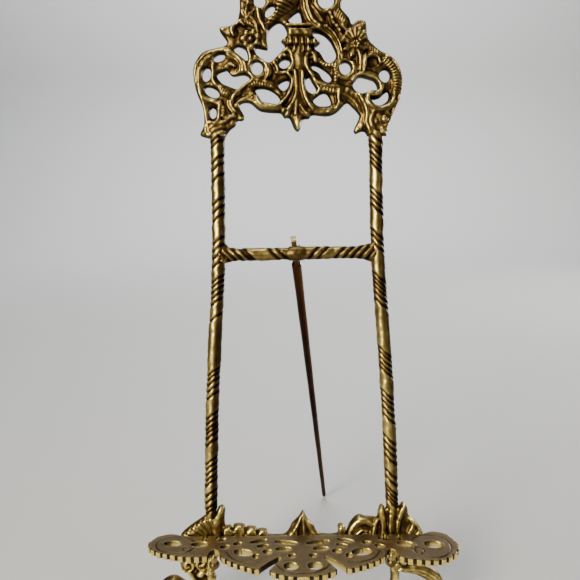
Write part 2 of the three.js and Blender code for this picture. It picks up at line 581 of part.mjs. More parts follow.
// The origin is the middle of the footprint, on the table.
const bounds = new THREE.Box3().setFromObject(stand);
const middle = bounds.getCenter(vec(0, 0, 0));
stand.position.set(-middle.x, -middle.y, -bounds.min.z);

export default stand;
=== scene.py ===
"""A cast-brass plate stand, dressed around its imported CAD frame."""
import json
import math

import bmesh
import bpy
import numpy as np
from mathutils import Matrix, Vector


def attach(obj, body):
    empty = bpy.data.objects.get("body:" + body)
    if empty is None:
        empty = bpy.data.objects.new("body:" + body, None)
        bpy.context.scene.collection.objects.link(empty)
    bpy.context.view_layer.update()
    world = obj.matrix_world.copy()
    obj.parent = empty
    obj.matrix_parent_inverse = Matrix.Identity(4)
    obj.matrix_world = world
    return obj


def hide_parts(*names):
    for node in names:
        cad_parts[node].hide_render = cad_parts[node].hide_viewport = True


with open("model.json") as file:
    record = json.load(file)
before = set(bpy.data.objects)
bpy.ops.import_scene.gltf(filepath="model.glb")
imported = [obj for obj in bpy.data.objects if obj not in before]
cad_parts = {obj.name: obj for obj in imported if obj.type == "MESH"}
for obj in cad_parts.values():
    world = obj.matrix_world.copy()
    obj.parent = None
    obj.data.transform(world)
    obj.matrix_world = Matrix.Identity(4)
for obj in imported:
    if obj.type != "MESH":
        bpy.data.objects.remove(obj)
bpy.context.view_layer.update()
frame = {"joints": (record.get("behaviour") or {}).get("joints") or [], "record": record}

# ---------------------------------------------------------------- driving sizes, mm
MM = 0.001
LEAN = math.radians(10)  # the front frame leans back
SHEET = 2.5  # half the thickness of the cast sheets
CREST_FOOT = 272.0  # where the crest meets the uprights, up the frame
RAIL_TOP = 55.0  # where the uprights meet the base rail
RAIL_FOOT = 43.0  # where the feet begin
BAR_HEIGHT = 209.0
LEDGE_THICK = 3.6
LEDGE_AXIS = 6.2  # from the frame's middle plane to the ledge's hinge line
LUG_X = 50.0  # middle of each ledge hinge
LUG_WIDTH = 5.0
EAR_WIDTH = 1.8
GAP = 0.3
NOTCH = (47.4, -20.2)  # the notch of the ledge over each bracket

MOUNTS = {m["name"]: [1000 * c for c in m["pos_m"]] for m in frame["record"]["mounts"]}
JOINTS = {j["name"]: j for j in frame["joints"]}
LEDGE_HINGE = [1000 * c for c in JOINTS["ledge_fold"]["pos_m"]]
LEDGE_TOP = MOUNTS["ledge_top"][2]
LEDGE_BACK = LEDGE_HINGE[1] + LEDGE_AXIS  # scene y where ledge outlines have y = 0
BASE_Y = MOUNTS["left_sole"][1]  # the frame's middle plane meets the table here


def frame_point(u, w, v):
    """(across, behind the middle plane, up the frame), mm, as a point of the scene, in metres."""
    y = w * math.cos(LEAN) + v * math.sin(LEAN)
    z = v * math.cos(LEAN) - w * math.sin(LEAN)
    return np.stack([u * MM + 0 * y, (y + BASE_Y) * MM, np.maximum(z, 0.02) * MM], axis=-1)


def ledge_point(x, depth, y):
    """(across, below the ledge's middle, towards the frame), mm, as a point of the scene, in metres."""
    z = LEDGE_TOP - LEDGE_THICK / 2 - depth
    return np.stack([x * MM + 0 * z, (y + LEDGE_BACK) * MM + 0 * z, z * MM], axis=-1)


# ---------------------------------------------------------------- meshes
def make_object(name, verts, faces, material, wear_and_shading=None):
    """A smooth-shaded mesh in scene metres; its per-vertex tone (0 dark, 1 bright) drives its colour: patina in the
    recesses and rubbed metal, with painted shade and painted highlight mixed in.
    """
    mesh = bpy.data.meshes.new(name)
    mesh.from_pydata(np.asarray(verts).tolist(), [], faces)
    mesh.validate()
    mesh.shade_smooth()
    layer = mesh.attributes.new("wear_and_shading", "FLOAT", "POINT")
    values = np.full(len(mesh.vertices), 0.5) if wear_and_shading is None else np.asarray(wear_and_shading, dtype=float)
    layer.data.foreach_set("value", values.astype(np.float32))
    mesh.materials.append(material)
    obj = bpy.data.objects.new(name, mesh)
    bpy.context.scene.collection.objects.link(obj)
    return obj


def skin(name, rings, material, wear_and_shading=None, caps=True):
    """A closed skin over an array of rings (stations, sides, xyz); the per-vertex tone, patina with painted light and
    shade, is (stations, sides).
    """
    stations, sides = rings.shape[:2]
    points = rings.reshape(-1, 3)
    faces = []
    for i in range(stations - 1):
        for j in range(sides):
            k = (j + 1) % sides
            faces.append((i * sides + j, i * sides + k, (i + 1) * sides + k, (i + 1) * sides + j))
    worn_and_shaded = np.full(len(points), 0.5) if wear_and_shading is None else wear_and_shading.reshape(-1)
    if caps:
        count = len(points)
        points = np.vstack([points, rings[0].mean(axis=0), rings[-1].mean(axis=0)])
        last = (stations - 1) * sides
        for j in range(sides):
            k = (j + 1) % sides
            faces.append((count, k, j))
            faces.append((count + 1, last + j, last + k))
        worn_and_shaded = np.concatenate([worn_and_shaded, [worn_and_shaded[0], worn_and_shaded[-1]]])
    return make_object(name, points, faces, material, worn_and_shaded)


def sweep(line, radius, sides=16, up=(0, 0, 1)):
    """Rings round a 3D polyline; radius(t, angle) is in the line's units."""
    line = np.asarray(line, dtype=float)
    along = np.gradient(line, axis=0)
    along /= np.linalg.norm(along, axis=1)[:, None]
    side = np.cross(np.asarray(up, dtype=float), along)
    side /= np.linalg.norm(side, axis=1)[:, None]
    deep = np.cross(along, side)
    t = np.linspace(0, 1, len(line))[:, None]
    angle = np.linspace(0, 2 * math.pi, sides, endpoint=False)[None, :]
    r = (radius(t, angle) + 0 * t * angle)[..., None]
    return line[:, None] + r * (np.cos(angle)[..., None] * side[:, None] + np.sin(angle)[..., None] * deep[:, None])


def spline(points, per_span=7, closed=False):
    """A Catmull-Rom curve through the points."""
    p = np.asarray(points, dtype=float)
    if closed:
        ext = np.vstack([p[-1:], p, p[:2]])
        spans = len(p)
    else:
        ext = np.vstack([2 * p[:1] - p[1:2], p, 2 * p[-1:] - p[-2:-1]])
        spans = len(p) - 1
    t = np.linspace(0, 1, per_span, endpoint=False)[:, None]
    out = []
    for i in range(spans):
        a, b, c, d = ext[i : i + 4]
        rise = (c - a) * t
        bend = (2 * a - 5 * b + 4 * c - d) * t**2
        twist = (3 * b - a - 3 * c + d) * t**3
        out.append(0.5 * (2 * b + rise + bend + twist))
    if not closed:
        out.append(p[-1:])
    return np.vstack(out)


def to_polyline(points, line):
    """For each point: distance to the polyline, side of it, place along it, and the line's length."""
    starts, ends = line[:-1], line[1:]
    steps = ends - starts
    lengths = np.maximum(np.linalg.norm(steps, axis=1), 1e-9)
    before = np.concatenate([[0], np.cumsum(lengths)[:-1]])
    best = np.full(len(points), 1e9)
    side = np.zeros(len(points))
    along = np.zeros(len(points))
    for start, step, length, passed in zip(starts, steps, lengths, before):
        offset = points - start
        t = np.clip((offset @ step) / length**2, 0, 1)
        apart = offset - t[:, None] * step
        d = np.hypot(apart[:, 0], apart[:, 1])
        nearer = d < best
        hand = np.sign(step[0] * offset[:, 1] - step[1] * offset[:, 0])
        best = np.where(nearer, d, best)
        side = np.where(nearer, hand, side)
        along = np.where(nearer, passed + t * length, along)
    return best, side, along, before[-1] + lengths[-1]


def blur(field, sigma):
    """Gaussian smoothing of a 2D field, sigma in cells."""
    radius = max(1, int(3 * sigma))
    x = np.arange(-radius, radius + 1)
    kernel = np.exp(-(x**2) / (2 * sigma**2))
    kernel /= kernel.sum()
    for axis in (0, 1):
        margins = [(radius, radius) if k == axis else (0, 0) for k in (0, 1)]
        padded = np.pad(field, margins, mode="edge")
        count = field.shape[axis]
        parts = [w * np.take(padded, np.arange(k, k + count), axis=axis) for k, w in enumerate(kernel)]
        field = sum(parts)
    return field


def hand_worked(shape, sigma):
    """Soft bumps of height about 1, the same on every run."""
    bumps = blur(np.random.default_rng(7).normal(size=shape), sigma)
    return bumps / bumps.std()


def along_list(t, values):
    """A number, or a list spread evenly along t from 0 to 1."""
    values = np.atleast_1d(values)
    return np.interp(t, np.linspace(0, 1, len(values)), values)


def ellipse(cx, cy, rx, ry, tilt=0.0, n=24, closed=False):
    a = np.linspace(0, 2 * math.pi, n, endpoint=False)
    c, s = math.cos(math.radians(tilt)), math.sin(math.radians(tilt))
    x, y = rx * np.cos(a), ry * np.sin(a)
    ring = np.stack([cx + x * c - y * s, cy + x * s + y * c], axis=1)
    return np.vstack([ring, ring[:1]]) if closed else ring


def volute(cx, cy, radius, start, turns, inner=0.8, steps=30):
    """Points of a spiral that winds inwards; positive turns go anticlockwise."""
    t = np.linspace(0, 1, steps)
    a = math.radians(start) + t * turns * 2 * math.pi
    r = radius + (inner - radius) * t
    return np.stack([cx + r * np.cos(a), cy + r * np.sin(a)], axis=1)


def mirrored(points):
    return [(-x, y) for x, y in points]


# Which corners (0-3, anticlockwise from the lower left) and sides (4-7, the side after each corner)
# make the faces of a cell, by which of its corners are inside.
CELLS = {
    1: [[0, 4, 7]], 2: [[1, 5, 4]], 3: [[0, 1, 5, 7]], 4: [[2, 6, 5]], 5: [[0, 4, 7], [2, 6, 5]],
    6: [[1, 2, 6, 4]], 7: [[0, 1, 2, 6, 7]], 8: [[3, 7, 6]], 9: [[0, 4, 6, 3]], 10: [[1, 5, 4], [3, 7, 6]],
    11: [[0, 1, 5, 6, 3]], 12: [[2, 3, 7, 5]], 13: [[0, 4, 5, 2, 3]], 14: [[1, 2, 3, 7, 4]], 15: [[0, 1, 2, 3]],
}


class Relief:
    """A casting as a pierced sheet with a height field on its face, built up stroke by stroke in mm."""

    def __init__(self, low, high, step=0.4, spread=1.0, drop=0.0):
        self.step = step
        self.spread = spread  # all strokes are this much wider than drawn
        self.drop = np.array([0.0, drop])  # and moved this far down
        self.x = np.arange(low[0], high[0], step)
        self.y = np.arange(low[1], high[1], step)
        self.grid = np.stack(np.meshgrid(self.x, self.y, indexing="ij"), axis=-1)
        self.edge = np.full(self.grid.shape[:2], -9.0)  # distance inside the outline
        self.z = np.zeros(self.grid.shape[:2])  # relief above the face

    def _window(self, points, margin):
        low = points.min(axis=0) - margin
        high = points.max(axis=0) + margin
        spans = []
        for k, axis in enumerate((self.x, self.y)):
            first = int(np.clip((low[k] - axis[0]) / self.step, 0, len(axis)))
            last = int(np.clip((high[k] - axis[0]) / self.step + 2, 0, len(axis)))
            spans.append(slice(first, last))
        return tuple(spans)

    def _inside(self, ring):
        """Signed distance to a closed ring, in the window round it."""
        ring = np.asarray(ring, dtype=float)
        window = self._window(ring, 6)
        points = self.grid[window].reshape(-1, 2)
        closed = np.vstack([ring, ring[:1]])
        inside = np.zeros(len(points), dtype=bool)
        for p, q in zip(closed[:-1], closed[1:]):
            spans = (p[1] > points[:, 1]) != (q[1] > points[:, 1])
            slope = (q[0] - p[0]) / (q[1] - p[1]) if q[1] != p[1] else 0.0
            inside ^= spans & (points[:, 0] < p[0] + slope * (points[:, 1] - p[1]))
        distance = to_polyline(points, closed)[0]
        return window, np.where(inside, distance, -distance).reshape(self.grid[window].shape[:2])

    def add(self, ring):
        window, distance = self._inside(ring)
        self.edge[window] = np.maximum(self.edge[window], distance)

    def cut(self, ring):
        window, distance = self._inside(ring)
        self.edge[window] = np.minimum(self.edge[window], -distance)

    def band(self, points, width):
        """Adds sheet along a curve; width is the half width, or a list of them along it."""
        line = spline(points) if len(points) < 20 else np.asarray(points)
        window = self._window(line, np.max(width) + 3)
        local = self.grid[window]
        d, _, along, length = to_polyline(local.reshape(-1, 2), line)
        inside = along_list(along / length, width) - d
        self.edge[window] = np.maximum(self.edge[window], inside.reshape(local.shape[:2]))

    def _raise(self, window, mask, height, carve):
        z = self.z[window]
        self.z[window] = np.where(mask, z - height if carve else np.maximum(z, height), z)

    def stroke(self, points, width, height, profile="round", flutes=0, cut=0.4, beads=0.0, lean=0.0, carve=False):
        """A raised (or carved) strand along a curve: half width, height, section, flutes along or beads across it."""
        line = (spline(points) if len(points) < 20 else np.asarray(points)) - self.drop
        window = self._window(line, self.spread * np.max(width) + 0.6)
        local = self.grid[window]
        if local.size == 0:
            return
        d, side, along, length = to_polyline(local.reshape(-1, 2), line)
        t = along / length
        s = d / (self.spread * along_list(t, width))
        body = {
            "round": np.sqrt(np.clip(1 - s**2, 0, 1)),
            "ridge": np.clip(1 - s, 0, 1) ** 0.8,
            "flat": np.clip(1 - s**6, 0, 1),
            "cup": np.clip(1 - s**6, 0, 1) * (0.35 + 0.65 * np.clip(s, 0, 1) ** 2),
        }[profile]
        if flutes:
            body = body * (1 - cut * (0.5 - 0.5 * np.cos(math.pi * flutes * (side * s + 1))))
        if beads:
            body = body * (1 - cut * (0.5 + 0.5 * np.cos(2 * math.pi * (along + lean * side * d) / beads)))
        height = (along_list(t, height) * body).reshape(local.shape[:2])
        self._raise(window, (s < 1).reshape(local.shape[:2]), height, carve)

    def dome(self, x, y, rx, ry, height, tilt=0.0, petals=0, rings=0, cut=0.4, sharp=2.0, carve=False):
        """An oval boss; petals or rings groove it."""
        x, y = np.array([x, y]) - self.drop
        window = self._window(np.array([[x, y]]), max(rx, ry) + 0.6)
        local = self.grid[window]
        if local.size == 0:
            return
        c, s = math.cos(math.radians(tilt)), math.sin(math.radians(tilt))
        dx, dy = local[..., 0] - x, local[..., 1] - y
        a, b = (dx * c + dy * s) / rx, (dy * c - dx * s) / ry
        r = np.hypot(a, b)
        body = np.clip(1 - r**sharp, 0, 1) ** 0.5
        if petals:
            body = body * (1 - cut * (0.5 + 0.5 * np.cos(petals * np.arctan2(b, a))) * np.clip(2 * r, 0, 1))
        if rings:
            body = body * (1 - cut * (0.5 - 0.5 * np.cos(2 * math.pi * rings * r)))
        self._raise(window, r < 1, height * body, carve)

    def patina_and_shading(self, front, tone):
        """Patina dark in the recesses and rubbed bright on what stands proud; steep slopes a little darker, and painted
        shade on the slopes that face down.
        """
        near = blur(np.where(self.edge > 0, front, 0.5), 1.1 / self.step)
        wide = blur(np.where(self.edge > 0, front, 0.5), 3.0 / self.step)
        slope_x, slope_y = np.gradient(front, self.step)
        steep = np.hypot(slope_x, slope_y)
        # painted shade: slopes that face down are darkened
        underside_shade = np.clip(slope_y, 0, 2)
        wear_and_shading = tone + 0.17 * (front - near) + 0.10 * (front - wide)
        return np.clip(wear_and_shading - 0.04 * np.clip(steep - 0.9, 0, 3) - 0.14 * underside_shade, 0, 1)

    def mesh(self, name, place, material, face=SHEET, back=SHEET, lip=0.6, rounded=1.3, soften=0.6, tone=0.5,
             proud=9.0, uneven=0.0, depth=1.0, rim=0.35):
        """Meshes the sheet; place(x, depth, y) gives scene points. Sheet edges are rounded down to the lip."""
        inner = np.clip(self.edge, 0, None)
        if uneven:
            self.z = self.z + uneven * hand_worked(self.z.shape, 0.7 / self.step)

        def shoulder(width):
            return np.sqrt(np.clip(1 - (1 - np.clip(inner / width, 0, 1)) ** 2, 0, 1))

        relief = np.clip(blur(self.z * depth, soften), -face + 0.4, proud)
        front = lip + (face - lip) * shoulder(rounded) + relief * shoulder(rounded * 0.8)
        rear = lip + (back - lip) * shoulder(rounded)
        wear_and_shading = self.patina_and_shading(front, tone)

        inside = self.edge > 0
        ids = -np.ones(inside.shape, dtype=int)
        ids[inside] = np.arange(inside.sum())
        count = int(inside.sum())
        places, fronts, rears, worn_and_shaded = [self.grid[inside]], [front[inside]], [rear[inside]], [wear_and_shading[inside]]
        crossings = []
        for axis in (0, 1):
            first = (slice(None, -1), slice(None)) if axis == 0 else (slice(None), slice(None, -1))
            second = (slice(1, None), slice(None)) if axis == 0 else (slice(None), slice(1, None))
            crossing = inside[first] != inside[second]
            a, b = self.edge[first][crossing], self.edge[second][crossing]
            t = np.clip(a / (a - b), 0.08, 0.92)[:, None]
            numbers = -np.ones(crossing.shape, dtype=int)
            numbers[crossing] = count + np.arange(len(a))
            count += len(a)
            crossings.append(numbers)
            places.append(self.grid[first][crossing] * (1 - t) + self.grid[second][crossing] * t)
            fronts.append(np.full(len(a), lip))
            rears.append(np.full(len(a), lip))
            worn_and_shaded.append(np.full(len(a), tone * rim))
        xy, fronts, rears, worn_and_shaded = (np.concatenate(parts) for parts in (places, fronts, rears, worn_and_shaded))

        corners = [ids[:-1, :-1], ids[1:, :-1], ids[1:, 1:], ids[:-1, 1:]]
        sides = [crossings[0][:, :-1], crossings[1][1:, :], crossings[0][:, 1:], crossings[1][:-1, :]]
        local = corners + sides
        case = sum((corner >= 0).astype(int) << k for k, corner in enumerate(corners))
        faces = []
        for number, polygons in CELLS.items():
            cells = case == number
            for polygon in polygons:
                flat = np.stack([local[k][cells] for k in polygon], axis=1)
                faces.extend(flat.tolist())
                faces.extend((flat[:, ::-1] + count).tolist())
                for k, n in zip(polygon, polygon[1:] + polygon[:1]):
                    if k >= 4 and n >= 4:
                        a, b = local[k][cells], local[n][cells]
                        faces.extend(np.stack([b, a, a + count, b + count], axis=1).tolist())
        verts = np.vstack([place(xy[:, 0], -fronts, xy[:, 1]), place(xy[:, 0], rears, xy[:, 1])])
        plain = np.full(len(xy), 0.75 * tone)
        return make_object(name, verts, faces, material, np.concatenate([worn_and_shaded, plain]))


# ---------------------------------------------------------------- materials
def noise(tree, scale, detail=4.0, stretch=None):
    """A noise texture in object space; stretch scales its axes."""
    coordinates = tree.nodes.new("ShaderNodeTexCoord")
    texture = tree.nodes.new("ShaderNodeTexNoise")
    texture.inputs["Scale"].default_value = scale
    texture.inputs["Detail"].default_value = detail
    source = coordinates.outputs["Object"]
    if stretch:
        mapping = tree.nodes.new("ShaderNodeMapping")
        mapping.inputs["Scale"].default_value = stretch
        tree.links.new(source, mapping.inputs["Vector"])
        source = mapping.outputs["Vector"]
    tree.links.new(source, texture.inputs["Vector"])
    return texture.outputs["Fac"]


def calculate(tree, operation, a, b):
    """One maths step between sockets or numbers."""
    node = tree.nodes.new("ShaderNodeMath")
    node.operation = operation
    for socket, value in zip(node.inputs, (a, b)):
        if isinstance(value, (int, float)):
            socket.default_value = value
        else:
            tree.links.new(value, socket)
    return node.outputs[0]


def remap(tree, source, from_low, from_high, to_low, to_high):
    node = tree.nodes.new("ShaderNodeMapRange")
    for key, value in (("From Min", from_low), ("From Max", from_high), ("To Min", to_low), ("To Max", to_high)):
        node.inputs[key].default_value = value
    tree.links.new(source, node.inputs["Value"])
    return node.outputs["Result"]


def aged_metal(name, tones, rough=(0.5, 0.24), mottle=0.30, scale=260.0, metal=1.0, pitting=0.00005):
    """Cast metal: a dark tone where the attribute is low (patina and painted shade), through the tones, to the rubbed
    colour with painted highlight where it is high.
    """
    material = bpy.data.materials.new(name)
    material.use_nodes = True
    tree = material.node_tree
    shader = tree.nodes["Principled BSDF"]
    wear_and_shading = tree.nodes.new("ShaderNodeAttribute")
    wear_and_shading.attribute_name = "wear_and_shading"
    stain = calculate(tree, "SUBTRACT", noise(tree, scale, 5.0), 0.5)
    broad = calculate(tree, "SUBTRACT", noise(tree, scale * 0.16, 2.0), 0.5)
    stain = calculate(tree, "ADD", calculate(tree, "MULTIPLY", stain, mottle), calculate(tree, "MULTIPLY", broad, mottle))
    level = calculate(tree, "ADD", wear_and_shading.outputs["Fac"], stain)
    ramp = tree.nodes.new("ShaderNodeValToRGB")
    stops = ramp.color_ramp.elements
    stops[0].position, stops[0].color = tones[0][0], (*tones[0][1], 1)
    stops[1].position, stops[1].color = tones[-1][0], (*tones[-1][1], 1)
    for position, colour in tones[1:-1]:
        stops.new(position).color = (*colour, 1)
    tree.links.new(level, ramp.inputs["Fac"])
    tree.links.new(ramp.outputs["Color"], shader.inputs["Base Color"])
    tree.links.new(remap(tree, level, 0.15, 0.8, *rough), shader.inputs["Roughness"])
    shader.inputs["Metallic"].default_value = metal
    bump = tree.nodes.new("ShaderNodeBump")
    bump.inputs["Strength"].default_value = 0.6
    bump.inputs["Distance"].default_value = pitting
    tree.links.new(noise(tree, 1400.0, 3.0), bump.inputs["Height"])
    tree.links.new(bump.outputs["Normal"], shader.inputs["Normal"])
    return material


def cast_brass():
    tones = [(0.12, (0.007, 0.004, 0.002)), (0.36, (0.080, 0.045, 0.014)), (0.58, (0.28, 0.19, 0.056)),
             (0.82, (0.94, 0.73, 0.22))]
    return aged_metal("cast_brass", tones, rough=(0.48, 0.30))


def matte_brass():
    tones = [(0.08, (0.020, 0.013, 0.006)), (0.40, (0.115, 0.080, 0.042)), (0.60, (0.22, 0.155, 0.066)),
             (0.92, (0.98, 0.74, 0.21))]
    return aged_metal("matte_brass", tones, rough=(0.55, 0.36), mottle=0.16, scale=420.0)


def dark_rod():
    tones = [(0.10, (0.005, 0.003, 0.003)), (0.50, (0.075, 0.028, 0.012)), (0.90, (0.26, 0.11, 0.04))]
    return aged_metal("dark_rod", tones, rough=(0.34, 0.22), mottle=0.2, scale=180.0)


def pin_brass():
    tones = [(0.10, (0.10, 0.06, 0.02)), (0.50, (0.50, 0.40, 0.17)), (0.90, (0.86, 0.76, 0.44))]
    return aged_metal("pin_brass", tones, rough=(0.5, 0.42), mottle=0.14, scale=300.0)


BRASS = cast_brass()
MATTE = matte_brass()
DARK = dark_rod()
PIN = pin_brass()


# ---------------------------------------------------------------- crest (u across, v up the frame, mm)
CREST_OUTLINE = [
    (-39.6, 270), (-39.2, 272), (-36.5, 276), (-33.3, 278.5), (-32.3, 281), (-29.3, 281.3), (-28.3, 283.5),
    (-30.8, 288.5), (-29.5, 290.4), (-25, 290.4), (-20, 286.4), (-14.3, 285.3), (-8.6, 284.8), (-6.7, 282.4),
    (-3.8, 282), (-1.5, 276.8), (0.5, 275), (2.2, 276.8), (3.4, 281.2), (6.7, 281.8), (8.8, 283.6), (15.8, 283),
    (19.7, 283.7), (23, 285.7), (27.3, 289.8), (30, 288), (33.7, 284), (34, 281.7), (31.5, 276.2), (31.2, 274.5),
    (32.3, 273.3), (34.7, 274.3), (37, 274.3), (38.6, 272), (39.4, 270), (48.4, 270), (49, 272), (50.6, 278.4),
    (53.3, 285.1), (56.6, 292.3), (57.7, 299.5), (57, 306.2), (53.3, 312.9), (45.7, 317.7), (40.4, 322.6),
    (38.8, 326.5), (38.1, 333.1), (34, 334), (30.7, 331.9), (29, 335.6), (24.8, 340.6), (25.8, 345.4), (24.2, 350),
    (19.5, 353), (14.4, 351.4), (10.8, 348.4), (9, 350.6), (7.5, 353.5), (5.5, 357), (2, 358.5), (-1.5, 357),
    (-5, 355), (-3, 353), (-5.5, 349), (-10.5, 347.5), (-14.5, 350.4), (-19.5, 352.4), (-25, 350.8), (-29.5, 346.5),
    (-29.8, 341), (-31.2, 334.5), (-34, 332), (-40.3, 331.3), (-40.6, 328.8), (-37, 323.5), (-38.5, 321.3),
    (-43.3, 320.1), (-49.9, 318.2), (-54, 313.4), (-55.6, 308.5), (-55, 301), (-53.5, 295), (-51, 289),
    (-50.2, 283), (-50.6, 278.5), (-52.6, 274.2), (-51, 272.8), (-48.4, 272), (-47.6, 270),
]
CREST_HOLES = [
    ellipse(-19, 344.5, 3.1, 3.3), ellipse(-13.5, 339, 3.5, 2, 52), ellipse(16.8, 344.6, 4.3, 4.4),
    ellipse(-41.3, 314.8, 3.3, 1.8, 18), ellipse(-48.3, 306, 2.3, 3.6, -12), ellipse(-45.6, 296.5, 4.3, 2.3, -28),
    ellipse(-21, 309, 3.1, 3.5), ellipse(-6, 311.2, 2.9, 2.2, 20), ellipse(-45.3, 285.4, 1.8, 2.8),
    ellipse(26.8, 308.3, 2.9, 3.2), ellipse(48.1, 304, 2.8, 3.3),
]
CREST_WINDOWS = [
    [(-3.3, 334.8), (-1.9, 332.9), (2.8, 332.9), (3.4, 334), (2.6, 337.6), (1.2, 338.4)],
    [(-9.2, 333), (-14.3, 329), (-15.4, 324), (-15.1, 319), (-21, 319.8), (-21.6, 317.6), (-19.6, 315.3),
     (-14.5, 312.2), (-10.2, 315.4), (-5.8, 320.3), (-7.8, 323.4), (-4.6, 326.4), (-5.9, 331)],
    [(9.6, 326.3), (12.3, 323.5), (13.4, 321.9), (10.4, 319.3), (13.3, 317), (15.8, 312.8), (18.4, 311.6),
     (21, 313), (21.9, 315.8), (20.4, 319.7), (18.3, 323.3), (14.8, 326.3), (10.9, 327.5)],
    [(-33.1, 318.7), (-29.5, 315.5), (-26.6, 313.3), (-25.9, 315), (-26.9, 318.6), (-29.2, 320.2), (-31.6, 320.6)],
    [(-42.7, 304.8), (-40, 301.4), (-36, 299.6), (-31.7, 298.2), (-29, 300.3), (-25.1, 303.1), (-27.8, 305.6),
     (-34, 305), (-36.5, 307.2), (-37.9, 308), (-41.7, 306.7)],
    [(-9.5, 299.7), (-8.6, 298.1), (-6.7, 297), (-4.6, 298.7), (-3.7, 301.6), (-5.4, 302.2), (-8, 301.2)],
    [(-22, 297), (-20.1, 293.9), (-18.5, 291.6), (-15, 290.7), (-10.4, 290.1), (-8.9, 291.8), (-10, 294.1),
     (-13.2, 296.6), (-16.8, 297.9), (-20.4, 298)],
    [(8.8, 309.8), (9.1, 308.3), (12.5, 306.1), (14.4, 302.9), (17, 301.3), (18.8, 301.8), (19.1, 303.5),
     (17, 306.2), (12.5, 309.2), (10, 310)],
    [(5.2, 302.2), (5.3, 299.3), (6.1, 297.1), (7.9, 295.6), (10, 295.4), (10.8, 297.3), (8.6, 301.2), (7.1, 303.6)],
    [(9.3, 291.3), (10.7, 289.4), (13.3, 288.4), (17.9, 288.7), (18.8, 290.4), (16.9, 294.3), (14.3, 295),
     (11.4, 293.4)],
    [(31, 299.7), (31.3, 298), (33, 296.1), (35.7, 295.1), (40.6, 296.3), (43.8, 296.6), (43.7, 299),
     (42.4, 301), (40, 302.2), (34.7, 303.4), (32.5, 301.7)],
    [(41.2, 291.5), (42.6, 289.5), (45.3, 288.5), (48.2, 289.7), (49.9, 291.7), (50.2, 294), (49.4, 295.5),
     (47.3, 294.1), (45.3, 292.4), (42.7, 291.6)],
]


def left_scrolls(r):
    """The big C-scroll at the left and the leaf below it that grips the upright."""
    r.stroke([(-47.5, 273), (-49.5, 282), (-51.5, 290), (-53.2, 297), (-53.6, 304), (-52.8, 310), (-48.5, 315.6),
              (-42.5, 317.8), (-36.5, 317.6), (-31.5, 314.6), (-29.3, 310.5), (-30.2, 306.4), (-33.4, 304.6),
              (-36.6, 306), (-37.6, 309.2), (-35.6, 311.8), (-33, 311)],
             [1.6, 1.8, 2.2, 2.6, 2.9, 2.9, 2.8, 2.8, 2.6, 2.4, 2.2, 2, 1.8, 1.6, 1.4, 1.2, 1], 2.6, flutes=3)
    r.stroke([(-36.6, 319), (-31.4, 316.8), (-27.6, 312.6), (-26.6, 307.8)], 0.8, 2.4)
    r.stroke([(-44.2, 314), (-45.2, 309), (-45.2, 304.5), (-43.2, 301.2), (-40.2, 299.6)], 0.9, 2.0)
    r.stroke([(-50.5, 301), (-46.5, 300.6), (-43, 299)], 1.3, 0.9)
    r.stroke([(-42.5, 299.2), (-40, 297.8), (-37.6, 296.6)], [1.6, 2.1, 1.7], 2.2, beads=1.3, cut=0.5)
    r.stroke([(-54, 299), (-52, 296), (-48.5, 293.6), (-44.5, 292.2), (-41.2, 290.4)], 1.1, 2.2)
    r.stroke([(-53, 294.6), (-50.6, 289), (-49.6, 283), (-49.2, 276)], 0.9, 2)
    r.stroke([(-41, 291.5), (-42, 287.5), (-42.2, 283), (-43.5, 281)], 1, 2.3)
    r.stroke([(-39.3, 289.5), (-39.6, 286), (-39, 283)], 0.8, 2, beads=1.7)
    r.stroke([(-37, 292), (-36.6, 289.5), (-34, 285.4)], 0.8, 2.4)
    r.stroke([(-35.6, 292.2), (-35, 289.8), (-32.8, 286.6)], 0.7, 2.4)
    r.stroke([(-40.5, 284.6), (-38, 283.4), (-35.4, 284.6)], 0.8, 1.8)
    for k in range(4):
        r.stroke([(-47.6, 268 + 3 * k), (-43.6, 271.4 + 3 * k), (-39.6, 273.4 + 2.6 * k)], [0.9, 1.4, 0.9], 2.4)
    r.stroke([(-47.6, 280.9), (-44.6, 280.2), (-41.5, 280.3), (-38.6, 281.4), (-36.2, 283.2), (-33.4, 284.2)], 0.9, 2.8)
    r.dome(-46.4, 277.6, 1.6, 1.9, 2.4, rings=1)
    r.stroke([(-37.5, 280), (-33.5, 280.2), (-29.8, 282)], [1.8, 1.7, 1], 1)
    r.stroke([(-48.8, 277), (-50.6, 274.4), (-52, 273.8)], [1.4, 1.2, 0.6], 1)


def left_inner_scrolls(r):
    """The double S from the left upright to the urn, beaded where it turns."""
    r.stroke([(-34.9, 289.8), (-34.6, 293.4), (-31.8, 297.2), (-27, 301.4), (-23, 303.6), (-18.5, 303),
              (-13.5, 301.4)], 1, 2.2)
    r.stroke([(-24.5, 301.6), (-21, 301.8), (-17.5, 300.6), (-13.5, 299.8)], [1.6, 1.9, 1.7, 1.2], 1.9,
             beads=1.5, cut=0.55, lean=0.4)
    r.stroke([(-32, 290), (-28.5, 291.8), (-24.5, 291.6), (-20.8, 289.6), (-16.5, 288.6), (-11, 288.2), (-8.8, 288.6)],
             [1.2, 1.9, 1.9, 1.5, 1.6, 1.5, 1.2], 2.2)
    r.stroke([(-24.4, 296), (-22.8, 293.4), (-21, 291.5)], 1.4, 2.4, beads=1.4, cut=0.5)
    r.stroke([(-21.4, 295.4), (-20.4, 291.6), (-17, 289.4), (-12, 289), (-9, 290)], [0.4, 1.0, 1.3, 1.1, 0.6], 3.2)
    r.dome(-31, 296, 1.6, 1.1, 1.8, tilt=50)
    r.dome(-26, 294, 1.8, 1.2, 1.8, tilt=-30)
    r.stroke(ellipse(-21, 309, 4.3, 4.6, closed=True), 1.3, 2)
    r.stroke([(-17.2, 312.2), (-14.8, 309.4), (-14.7, 306.2), (-16.4, 303.8)], [0.7, 1.3, 1.4, 0.6], 2.8)
    r.stroke([(-12.4, 313.4), (-10.4, 310.4), (-9.4, 307.6)], 0.75, 2)
    r.stroke([(-10.6, 307), (-7.5, 306.9), (-4.4, 307.3)], 0.8, 2)


